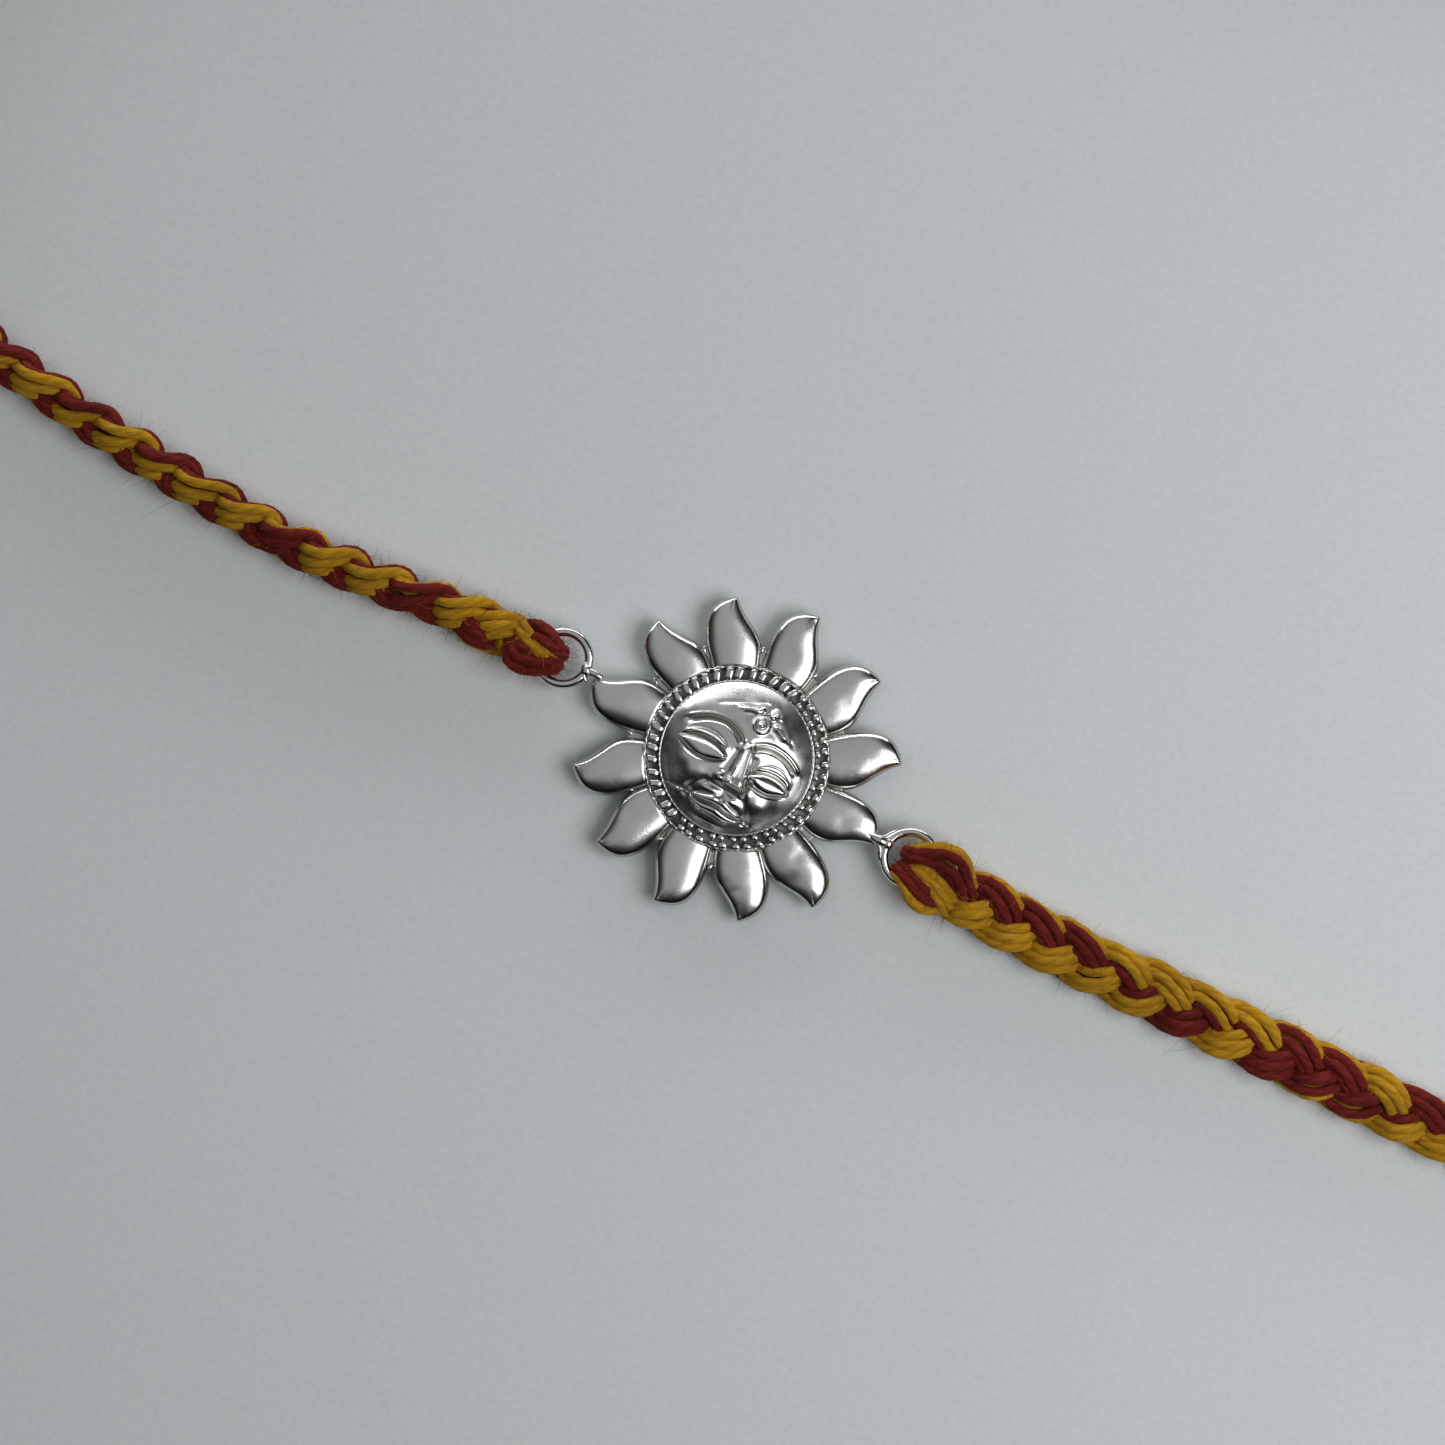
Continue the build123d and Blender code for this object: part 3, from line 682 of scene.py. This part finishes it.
def ray(index):
    """One pillowed ray that leans clockwise, hollow from behind."""
    turn, stretch, trailing_full, leading_full = RAYS[index]
    share = np.linspace(0, 1, SIDE_STEPS)
    trailing_corners = [(r, t * trailing_full if t < -2.6 else t) for r, t in TRAILING_SIDE]
    leading_corners = [(r, t * leading_full if t > 0.5 else t) for r, t in LEADING_SIDE]
    trailing, leading = bezier(trailing_corners, share), bezier(leading_corners, share)
    # the root runs on under the border, where it doesn't show
    trailing = np.concatenate([[(5.45, -1.44), (5.95, -1.58)], trailing])
    leading = np.concatenate([[(5.45, 1.44), (5.95, 1.58)], leading])
    root_across = np.linspace(-1.44, 1.44, ROOT_STEPS + 2)[1:-1]
    root = np.stack([np.sqrt(ROOT_RADIUS ** 2 - root_across ** 2), root_across], axis=-1)
    spine_share = 0.03 + 0.9 * share
    spine = (bezier(trailing_corners, spine_share) + bezier(leading_corners, spine_share)) / 2
    spine = np.concatenate([[(6.0, 0.0), (6.25, 0.0)], spine])
    outline = np.concatenate([leading, trailing[::-1], root])
    middle = np.concatenate([spine, spine[::-1], np.repeat(spine[:1], ROOT_STEPS, axis=0)])
    # the loop runs the other way, because the second number goes clockwise
    outline, middle = outline[::-1], middle[::-1]
    way = middle - outline
    distance = np.linalg.norm(way, axis=1)
    section = np.array(RAY_SECTION)
    rows = []
    for inset, height, _, _ in RAY_ROWS:
        part = 1 - np.exp(-inset / distance)
        flat = outline + way * part[:, None]
        x, y = flat[:, 0] * stretch, flat[:, 1]
        radius = np.hypot(x, y)
        if height is None:
            # the slope dies away towards the middle line, so that no crease shows there
            reach = distance * (part - part ** 2 / 2)
            height = np.interp(reach, section[:, 0], section[:, 1])
            height = height + dents(index, flat[:, 0], flat[:, 1])
            height = height - 0.75 * (1 - rise(radius, 6.68, 6.99))
        # under the border the root stays inside the plate, also as seen from behind
        push = np.maximum(1.0, ROOT_START / radius)
        height = np.maximum(height, 0.06 * (1 - rise(radius, 8.3, 8.5)))
        height = np.where(radius < ROOT_END, np.clip(height, 0.5, 0.7), height)
        rows.append([x * push, -y * push, height])
    x, y, z = np.moveaxis(np.array(rows), 1, 0)
    angle = 2 * math.pi * index / RAY_COUNT + math.radians(turn)
    # each row's painted shade and polish, from the table above
    shade_share, polish = ([row[place] for row in RAY_ROWS] for place in (2, 3))
    return skin(on_sun(turned(x, y, z, angle)), shade_share, polish)


def pebble(middle, size, turn, squareness, columns=12, rows=7):
    """A rounded block, which squareness takes from ball to cube."""
    power = 2 / squareness
    down = np.linspace(-math.pi / 2, math.pi / 2, rows)[:, None]
    round_it = turns(columns)[None, :]

    def soft(value):
        return np.sign(value) * np.abs(value) ** power

    x = size[0] * soft(np.cos(down)) * soft(np.cos(round_it))
    y = size[1] * soft(np.cos(down)) * soft(np.sin(round_it))
    z = size[2] * soft(np.sin(down)) * np.ones_like(round_it)
    points = turned(x, y, z, turn) + np.asarray(middle)
    # painted shade on its lower side, and polish on its upper
    low = np.linspace(1, 0, rows) ** 0.7
    return skin(on_sun(points), np.clip(low * 1.1 - 0.35, 0, 1), 1 - low)


def wire_loop(radius, thick, middle, shade_share, polish):
    """A closed loop of wire, with its half thickness at each point, and one share of painted shade
    and of polish for all of it.
    """
    count, sides = thick.shape
    spin = turns(sides)[None, :, None]
    out = round_row(1.0, 0.0, count)[:, None]
    section = np.cos(spin) * out - np.sin(spin) * np.array([0, 0, 1.0])
    rows = out * radius + thick[..., None] * section + np.asarray(middle)
    closed = np.concatenate([rows, rows[:1]])
    return skin(on_sun(closed), np.full(count + 1, shade_share), np.full(count + 1, polish))


def sun_border():
    """The beads in their channel, long at the left and worn at the right, and the thin rims."""
    parts = []
    for index in range(BEAD_COUNT):
        angle = 2 * math.pi * (index + 0.15 * chance.uniform(-1, 1)) / BEAD_COUNT
        # the stamp struck fully at the upper left, and in two broken rows at the right
        full = rise(math.cos(angle - math.radians(165)), -0.3, 0.3)
        uneven = 1 + 0.12 * chance.uniform(-1, 1, 3)
        lean = 0.35 * chance.uniform(-1, 1)
        if full > 0.5:
            size = np.array([0.5, 0.3, 0.34]) * uneven
            place = at(angle, BEAD_ROW, 1.1)
            parts.append(pebble(place, size, angle - 0.25 + 0.4 * lean, 3.4, 16, 9))
        else:
            size = np.array([0.24, 0.27, 0.26]) * uneven
            place = at(angle, WORN_ROWS[0] + 0.05 * lean, 1.12)
            parts.append(pebble(place, size, angle + lean, 2.8))
            angle = angle + 0.5 * math.pi / BEAD_COUNT
            size = np.array([0.27, 0.32, 0.27]) * uneven[::-1]
            place = at(angle, WORN_ROWS[1] + 0.1 * lean, 1.06)
            parts.append(pebble(place, size, angle - lean, 3.0))
    for radius, wire, height, lobes, depth in RIMS:
        twist = 2 * turns(10)[None, :] - lobes * turns(2 * SEGMENTS)[:, None]
        thick = wire * (1 + depth * np.cos(twist))
        # the rims get a little painted shade, and much polish
        parts.append(wire_loop(radius, thick, (0, 0, height), 0.05, 0.9))
    return parts


# The solder that runs from a ray's tip onto each ring: half thickness, and places along it
SOLDER = {
    -1: [
        (0.34, (-11.7, 0.12, 0.62), (-12.3, 0.14, 0.7), (-13.0, 0.1, 0.62), (-13.35, 0.06, 0.6)),
        (0.2, (-12.6, -0.75, 0.66), (-13.1, -0.35, 0.78), (-13.35, 0.3, 0.82), (-13.2, 0.85, 0.7)),
    ],
    1: [
        (0.42, (11.6, 0.0, 0.6), (12.3, 0.02, 0.72), (12.8, 0.05, 0.66), (13.2, 0.1, 0.6)),
        (0.24, (12.2, 0.1, 0.8), (12.7, 0.45, 0.85), (13.0, 0.95, 0.72), (13.3, 1.3, 0.62)),
        (0.22, (12.2, -0.1, 0.8), (12.7, -0.45, 0.82), (13.0, -0.95, 0.7), (13.3, -1.3, 0.62)),
    ],
}


def wire_ring(side):
    """One bent wire ring, and the solder that holds it."""
    place = (side * RING_PLACE, 0, RING_LIFT)
    parts = [wire_loop(RING_CENTRE_LINE, np.full((96, 20), RING_WIRE / 2), place, 0.0, 0.85)]
    for width, *points in SOLDER[side]:
        line = smooth_through(points, 6)
        swell = width * (0.55 + 0.45 * np.sin(np.linspace(0.35, math.pi - 0.35, len(line))))
        swell[[0, -1]] = 0.01
        part = tube(line, swell, 14, (0, 1, 0))
        part["points"] = on_sun(part["points"])
        # a little more painted shade and polish over all the solder
        part["shade_share"] = part["shade_share"] + 0.12
        part["polish"] = part["polish"] + 0.7
        parts.append(part)
    inner = side * (RING_PLACE - RING_CENTRE_LINE)
    lump = (inner, 0.1 if side > 0 else 0.05, RING_LIFT + 0.08)
    parts.append(pebble(lump, (0.42, 0.5, 0.42), 0.2, 2.1, 16, 9))
    return parts


def spur(index):
    """The small wedge of metal that stands between two rays."""
    angle = 2 * math.pi * (index + 0.5) / RAY_COUNT + math.radians(1.5)
    reach = 8.42 + 0.15 * chance.uniform(-1, 1)
    size = (0.36 + 0.06 * chance.uniform(-1, 1), 0.16, 0.24)
    return pebble(at(angle, reach, 0.5), size, angle - 0.3, 2.2, 14, 9)


# The cords

# The knot's place: how far it is from the sun's middle, and its height
KNOT_Y, KNOT_MIDDLE = 86.6, 2.3
YARNS = 6
YARN_SIDES = 12
YARN_RADIUS = 0.39
# Each cord: the few chosen points of its route from the sun's middle, how far a strand swings
# across and up, where the plait starts, how far it is rolled over in degrees, how much broader its
# upper legs are, the fold in the ring, where between two legs the colours change, the length of a
# repeat and of the cord, and the legs' colours
CORDS = {
    "left": {
        "route": [
            (-17.05, -0.45), (-24.0, -1.15), (-31.0, -2.45), (-38.0, -3.15), (-50.0, -2.85),
            (-63.0, -2.0), (-74.0, 0.8), (-82.0, 9.0), (-86.0, 21.0), (-85.0, 35.0),
            (-79.0, 49.0), (-69.0, 61.5), (-56.0, 72.0), (-41.0, 79.8), (-24.0, 85.0),
            (-3.3, KNOT_Y),
        ],
        "swing": 0.85, "lift": 0.72, "start": 2.3, "roll": 46.0, "upper_width": 0.3,
        "fold_spread": 1.0, "fold_reach": 0.75, "fold_turns": (260, 210, 30),
        "colour_change": ((0.02, 0.42), (0.35, 0.8)), "repeat": 10.902, "length": 198.0,
        "legs": ["rRrRrqrYrqRY", "rYrYrYRqrYrq", "rYrYRYrYrqrY"],
    },
    "right": {
        "route": [
            (17.05, -0.45), (27.0, -0.35), (38.0, 0.55), (50.0, 1.5), (62.0, 2.3), (72.5, 4.5),
            (81.0, 12.0), (85.5, 23.0), (85.0, 37.0), (79.0, 50.5), (69.0, 62.5),
            (56.0, 72.5), (41.0, 80.0), (24.0, 85.0), (3.3, KNOT_Y),
        ],
        "swing": 1.22, "lift": 0.6, "start": 3.0, "roll": -6.0, "upper_width": 0.0,
        "fold_spread": 1.7, "fold_reach": 1.0, "fold_turns": (150, 250, 40),
        "colour_change": ((0.22, 0.62), (0.22, 0.62)), "repeat": 10.881, "length": 194.0,
        "legs": ["rYyRyrYYrr", "rYryyRryRY", "rYrYYYrrRy"],
    },
}
LOWEST_BUNDLE = 0.77
WIRE_LEVEL = 1.68
BUNDLE_WIDTH = 0.8
BUNDLE_THICKNESS = 0.38
# The camera sees this much of each strand, and the rings of points lie closer there
SEEN_LENGTH = 78.0
SEEN_STEP, UNSEEN_STEP = 0.34, 0.75
FIBRES = {"red": 2500, "yellow": 1300}
KNOT_FIBRES = 400
# How a bundle is turned in degrees, on even and odd legs, when it shows yellow, red, red with a
# yellow edge, or yellow with a red edge at either side
LEG_TURNS = {"Y": (30, 30), "R": (210, 210), "r": (236, 184), "y": (335, 85), "q": (85, 335)}


def smooth_route(name, points):
    """The smooth line that a cord's chosen points give."""
    curve = bpy.data.curves.new(name, "CURVE")
    curve.dimensions = "3D"
    curve.resolution_u = 32
    spline = curve.splines.new("NURBS")
    spline.points.add(len(points) - 1)
    for point, place in zip(spline.points, points):
        point.co = (place[0], place[1], 0, 1)
    spline.order_u = 3
    spline.use_endpoint_u = True
    holder = bpy.data.objects.new(name, curve)
    mesh = bpy.data.meshes.new_from_object(holder)
    line = np.array([vertex.co[:2] for vertex in mesh.vertices], float)
    bpy.data.batch_remove([holder, curve, mesh])
    return line


class CordLine:
    """A cord's middle line on the ground."""

    def __init__(self, name, facts):
        self.line = smooth_route(name, np.array(facts["route"]) + (SUN_X, SUN_Y))
        self.along = length_along(self.line)
        self.length = self.along[-1]
        ahead = np.gradient(self.line, axis=0)
        self.ahead = ahead / np.linalg.norm(ahead, axis=1)[:, None]

    def beside(self, distance, across, height):
        """A point beside the line, and the way to its side."""
        ahead = at_marks(distance, self.along, self.ahead)
        ahead /= np.linalg.norm(ahead)
        place = at_marks(distance, self.along, self.line)
        beyond = min(0.0, distance) + max(0.0, distance - self.length)
        sideways = np.array([-ahead[1], ahead[0]])
        flat = place + ahead * beyond + sideways * across
        return (*flat, height), (*sideways, 0.0)


def leg_turn(facts, number, phase):
    """How a bundle is turned about its own line, so that the right yarns show on top."""
    codes = facts["legs"][number]
    order = 2 * phase - 0.5
    first = math.floor(order)
    start, end = (
        math.radians(LEG_TURNS[codes[leg % len(codes)]][leg % 2]) for leg in (first, first + 1)
    )
    gap = (end - start + math.pi) % (2 * math.pi) - math.pi
    return start + gap * rise(order - first, *facts["colour_change"][first % 2])


def plait_place(facts, phase, roll):
    """Where a strand is in the plait's section: across it, and up from its middle."""
    swung = 2 * math.pi * (phase - 0.1375)
    across = facts["swing"] * (math.cos(swung) - 0.07 * math.cos(3 * swung)) / 0.93
    lift = -facts["lift"] * math.cos(4 * math.pi * phase)
    return (
        across * math.cos(roll) + lift * math.sin(roll),
        lift * math.cos(roll) - across * math.sin(roll),
    )


def fold_keys(facts, number):
    """The end of a strand that is folded round the ring's wire, or that lies under it."""
    over, under = WIRE_LEVEL + 1.0, WIRE_LEVEL - 0.96
    turn, reach = math.radians(facts["fold_turns"][number]), facts["fold_reach"]
    if number == 2:
        # it comes up through the ring between the two halves of the folded bundle
        lane = 1.0
        places = [
            (-1.7 * reach, 0.1, WIRE_LEVEL - 0.45, 0.28, 0.26),
            (-1.35 * reach, 0.1, WIRE_LEVEL + 0.5, 0.28, 0.26),
            (-0.6 * reach, 0.0, over, 0.3, 0.28),
            (0.4, -0.2, over, 0.42, 0.3),
            (1.35, -0.65, over - 0.3, 0.6, 0.36),
        ]
    else:
        lane = facts["fold_spread"] * (-1, 1)[number]
        ends = [(1.1, 0.86, over - 0.75, 0.8, 0.36), (1.25, 1.0, over - 0.06, 0.88, 0.36)]
        places = [
            (1.0, 0.7, under, 0.55, 0.34),
            (-0.8 * reach, 0.55, under + 0.08, 0.5, 0.34),
            (-1.75 * reach, 0.46, under + 0.4, 0.45, 0.36),
            (-2.2 * reach, 0.42, WIRE_LEVEL, 0.43, 0.38),
            (-1.9 * reach, 0.48, WIRE_LEVEL + 0.68, 0.48, 0.38),
            (-1.0 * reach, 0.72, over - 0.04, 0.62, 0.36),
            (0.1, 0.98, over, 0.84, 0.34),
            ends[number],
        ]
    return [
        (distance, lane * share, height, turn, width, thickness, 0.0)
        for distance, share, height, width, thickness in places
    ]


def strand_keys(facts, number, line):
    """A strand's chosen places: the fold in its ring, the plait, and the way into the knot."""
    repeat = facts["repeat"] * line.length / facts["length"]
    full_roll = math.radians(facts["roll"])
    lowest = min(plait_place(facts, phase, full_roll)[1] for phase in np.arange(0, 1, 0.04))
    uneven = chance.uniform(0, 1, (2, 3))
    keys = fold_keys(facts, number)
    for distance in np.arange(facts["start"] - 0.4, line.length + 1.2, 0.55):
        shift = 0.018 * wander(distance, 8, uneven[0])
        phase = (distance - facts["start"]) / repeat + number / 3 + shift
        rolled = shown(distance, 1.5, 9, 150, 180)
        roll = full_roll * rolled
        across, lift = plait_place(facts, phase, roll)
        # rolled over, the legs on the far side hardly stand out beside the broad ones
        across -= 1.4 * facts["upper_width"] * rolled * max(0.0, across)
        across *= 1 + 0.08 * wander(distance, 6, uneven[1])
        near_knot = rise(distance, line.length - 9, line.length - 1)
        middle = LOWEST_BUNDLE + facts["lift"] * (1 - rolled) - lowest * rolled
        height = middle + lift * (1 - 0.25 * near_knot) + (KNOT_MIDDLE - middle) * near_knot
        # the yarns of a bundle twist a little as they go
        twist = -math.sin(4 * math.pi * phase) * math.cos(2 * math.pi * (phase - 0.25))
        turn = leg_turn(facts, number, phase) + 0.3 * twist
        turn += 2 * math.pi * round((keys[-1][3] - turn) / (2 * math.pi))
        loose = rise(distance, 1.0, 5.0)
        width = 0.6 + (BUNDLE_WIDTH - 0.6) * loose - 0.12 * near_knot
        # the legs that show broadly, because the plait lies rolled over
        width *= 1 - facts["upper_width"] * math.sin(2 * math.pi * phase) * rolled
        across *= 1 - 0.15 * near_knot
        keys.append((distance, across, height, turn, width, BUNDLE_THICKNESS, roll))
    return keys


def strand_yarns(facts, number, line):
    """The six yarns of one strand, as yellow tubes and red tubes."""
    rows = []
    for distance, across, height, turn, width, thickness, roll in strand_keys(facts, number, line):
        place, sideways = line.beside(distance, across, height)
        sideways = (sideways[0] * math.cos(roll), sideways[1] * math.cos(roll), -math.sin(roll))
        rows.append((*place, *sideways, turn, width, thickness))
    fine = smooth_through(rows, 6)
    along = length_along(fine[:, :3])
    seen = np.arange(0, SEEN_LENGTH, SEEN_STEP)
    marks = np.concatenate([seen, np.arange(SEEN_LENGTH, along[-1], UNSEEN_STEP)])
    laid = at_marks(marks, along, fine)
    side, out = frames_along(laid[:, :3], laid[:, 3:6])
    turn, width, thickness = laid[:, 6:].T
    parts = {"yellow": [], "red": []}
    for index in range(YARNS):
        phases = chance.uniform(0, 1, (4, 3))
        angle = turn + 2 * math.pi * index / YARNS + 0.2 * wander(marks, 9, phases[0])
        x = width * np.cos(angle) + 0.08 * wander(marks, 5, phases[1])
        y = thickness * np.sin(angle) + 0.06 * wander(marks, 4, phases[2])
        yarn = laid[:, :3] + side * x[:, None] + out * y[:, None]
        thick = YARN_RADIUS * (1 + 0.1 * wander(marks, 3.5, phases[3]))
        yarn[:, 2] = np.maximum(yarn[:, 2], thick + 0.02)
        colour = "yellow" if index < YARNS / 2 else "red"
        parts[colour].append(tube(yarn, thick, YARN_SIDES, side, PLY_DEPTH))
    return parts


def stray_fibres(parts, count, nearness):
    """Loose fibres that stand out of the yarns, drawn about 0.03 mm thick so that they show."""
    fibres = []
    share = np.linspace(0, 1, 3)[:, None]
    thin = 0.016 * (1 - 0.5 * share[:, 0])
    for _ in range(count):
        part = parts[chance.integers(len(parts))]
        rings = part["points"].reshape(-1, YARN_SIDES, 3)
        row = int(len(rings) * min(chance.random() ** nearness, 0.985))
        column = chance.integers(YARN_SIDES)
        base, middle = rings[row, column], rings[row].mean(axis=0)
        out = base - middle
        if out[2] < -0.15:
            out = -out
            base = middle + out
        out = out / np.linalg.norm(out)
        ahead = rings[min(row + 1, len(rings) - 1), column] - rings[max(row - 1, 0), column]
        ahead = ahead / (np.linalg.norm(ahead) + 1e-9)
        way = 0.55 * out + chance.uniform(-1.2, 1.2) * ahead + 0.45 * chance.normal(size=3)
        way /= np.linalg.norm(way)
        curl = chance.normal(size=3) * 1.3
        length = 0.2 + 0.4 * chance.random() + 1.2 * chance.random() ** 20
        line = base - 0.05 * out + length * (way * share + curl * share ** 2 * 0.5)
        line[:, 2] = np.maximum(line[:, 2], 0.03)
        fibres.append(tube(line, thin, 3, np.cross(way, (0.3, 0.5, 0.8))))
    return fibres


# The knot

WRAP_TURNS = 3
WRAP_YARN, TUFT_YARN = 0.37, 0.3
TUFT_COUNT = 26
# The tufts' ends lean away from each other by these degrees
TUFT_LEANS = (-30, 30)


def knot_yarns():
    """Three turns of a triple wrap, and the loose ends in two tufts."""
    parts = {"yellow": [], "red": []}
    middle = np.array([SUN_X, SUN_Y + KNOT_Y, KNOT_MIDDLE])
    for index, colour in enumerate(("red", "yellow", "red")):
        turn = np.linspace(0, 2 * math.pi * WRAP_TURNS, 190)
        x = -3.0 + 0.68 * index + 2.0 * turn / (2 * math.pi)
        y = 2.62 * np.sign(np.cos(turn)) * np.abs(np.cos(turn)) ** 0.62
        z = 1.9 * np.sign(np.sin(turn)) * np.abs(np.sin(turn)) ** 0.7
        belly = 1 - 0.05 * (x / 3) ** 2
        line = np.stack([x, y * belly, z * belly], axis=-1) + middle
        parts[colour].append(tube(line, WRAP_YARN, YARN_SIDES, (1, 0.01, 0), PLY_DEPTH))
    for lean in TUFT_LEANS:
        for _ in range(TUFT_COUNT):
            angle = math.radians(90 + lean + chance.uniform(-14, 14))
            out = np.array([math.cos(angle), math.sin(angle), 0])
            across = np.array([-out[1], out[0], 0])
            reach = chance.uniform(12.3, 15.0)
            layer = chance.random()
            bend = chance.uniform(-1, 1, 2)
            sway = across * 1.1 * (bend[0] + bend[1]) * 0.5
            points = [
                out * 0.8 + (0, 0, 0.5 * (layer - 0.5)),
                out * 2.4 + across * 0.5 * bend[0] + (0, 0, 0.9 * (layer - 0.5)),
                out * 5.0 + across * 0.7 * bend[0] + (0, 0, -1.1 + 1.1 * layer),
                out * 8.5 + across * 0.9 * bend[1] + (0, 0, -1.7 + 1.0 * layer),
                out * reach + sway + (0, 0, -1.98 + 0.7 * layer),
            ]
            line = smooth_through(np.array(points) + middle, 8)
            line[:, 2] = np.maximum(line[:, 2], 0.33)
            share = np.linspace(0, 1, len(line))
            thick = TUFT_YARN * (1 - 0.25 * share ** 4)
            thick[-1] = 0.05
            colour = "yellow" if chance.random() < 0.45 else "red"
            parts[colour].append(tube(line, thick, YARN_SIDES, (0, 0, 1), PLY_DEPTH))
    return parts


# Everything in its place

silver = satin_silver()
cottons = {
    "yellow": cotton_yarn("yellow_cotton_yarn", "#C28B0E", "#E4B640", "#7C5305", 0.45),
    "red": cotton_yarn("red_cotton_yarn", "#6F1710", "#98403A", "#3A0806", 0.5),
}

for name, parts in (
    ("sun_disc", [sun_disc()]),
    ("sun_rays", [ray(i) for i in range(RAY_COUNT)] + [spur(i) for i in range(RAY_COUNT)]),
    ("sun_border", sun_border()),
    ("sun_rings", wire_ring(-1) + wire_ring(1)),
):
    make_piece(name, parts, silver, ["sun_medallion"], weld=True)

for name, facts in CORDS.items():
    line = CordLine(name, facts)
    for number in range(3):
        node = f"{name}_strand_{number + 1}"
        yarns = strand_yarns(facts, number, line)
        for colour, parts in yarns.items():
            parts = parts + stray_fibres(parts, FIBRES[colour], 2.0)
            make_piece(f"{node}_{colour}", parts, cottons[colour], [node])

for colour, parts in knot_yarns().items():
    parts = parts + stray_fibres(parts, KNOT_FIBRES, 1.0)
    make_piece(f"tie_knot_{colour}", parts, cottons[colour], ["tie_knot"])

# The paper
PAPER_REACH = 0.6
floor_mesh = bpy.data.meshes.new("paper")
corners = [(PAPER_REACH * x, PAPER_REACH * y, 0) for x, y in ((-1, -1), (1, -1), (1, 1), (-1, 1))]
floor_mesh.from_pydata(corners, [], [(0, 1, 2, 3)])
floor_mesh.materials.append(drawing_paper())
floor = bpy.data.objects.new("paper", floor_mesh)
scene.collection.objects.link(floor)

# The camera looks straight down, with the bracelet turned 30 degrees in its view
RIGHT = Vector((0.866, 0.5, 0))
UP = Vector((-0.5, 0.866, 0))
AIM = Vector((SUN_X - 2.25, SUN_Y + 1.79, 0)) * MM
CAMERA_HEIGHT = 0.28
FRAME_WIDTH = 0.1095

camera = bpy.data.objects.new("camera", bpy.data.cameras.new("camera"))
camera.data.sensor_width = 36
camera.data.lens = 36 * CAMERA_HEIGHT / FRAME_WIDTH
turn = Matrix((RIGHT, UP, Vector((0, 0, 1)))).transposed().to_4x4()
camera.matrix_world = Matrix.Translation(AIM + Vector((0, 0, CAMERA_HEIGHT))) @ turn
scene.collection.objects.link(camera)
scene.camera = camera


def soft_light(name, right, up, height, size, power, colour):
    """A square soft light that faces the sun, placed as the camera sees it."""
    data = bpy.data.lights.new(name, "AREA")
    data.shape = "RECTANGLE"
    data.size, data.size_y = size
    data.energy = power
    data.color = linear(colour)[:3]
    light = bpy.data.objects.new(name, data)
    light.location = AIM + RIGHT * right + UP * up + Vector((0, 0, height))
    light.rotation_euler = (AIM - light.location).to_track_quat("-Z", "Y").to_euler()
    scene.collection.objects.link(light)


soft_light("top_window", -0.04, 0.42, 0.085, (0.85, 0.1), 1.25, "#FAFCFF")
soft_light("right_lamp", 0.165, -0.05, 0.215, (0.2, 0.17), 0.36, "#FAFCFF")

world = bpy.data.worlds.new("room")
world.use_nodes = True
room = world.node_tree
facing = add_node(room, "TexCoord", "Generated")


def toward(way, low, high, dark, bright):
    """A share of light that changes from one side of the room to the other."""
    along = add_node(
        room, "VectorMath", "Value", {"operation": "DOT_PRODUCT"}, {1: way}, {0: facing}
    )
    return add_node(
        room, "MapRange", "Result", {"interpolation_type": "SMOOTHSTEP"},
        {"From Min": low, "From Max": high, "To Min": dark, "To Max": bright}, {"Value": along},
    )


# a grey ceiling and dark walls, with a paler wall above the picture
light = toward((0, 0, 1), 0.3, 0.8, 0.05, 0.4)
for operation, way, low, high, dark, bright in (
    ("MULTIPLY", RIGHT * 0.94 + UP * 0.34, 0.42, 0.64, 1.0, 0.08),
    ("MULTIPLY", -UP, 0.2, 0.55, 1.0, 0.05),
    ("MULTIPLY", -RIGHT, 0.5, 0.8, 1.0, 0.3),
    ("ADD", UP * 0.94 - RIGHT * 0.34, 0.6, 0.95, 0.0, 0.08),
):
    wall = toward(tuple(way), low, high, dark, bright)
    light = add_node(room, "Math", "Value", {"operation": operation}, None, {0: light, 1: wall})
feed(room, room.nodes["Background"], {"Color": linear("#F1F6F5")}, {"Strength": light})
scene.world = world
scene.view_settings.view_transform = "Standard"
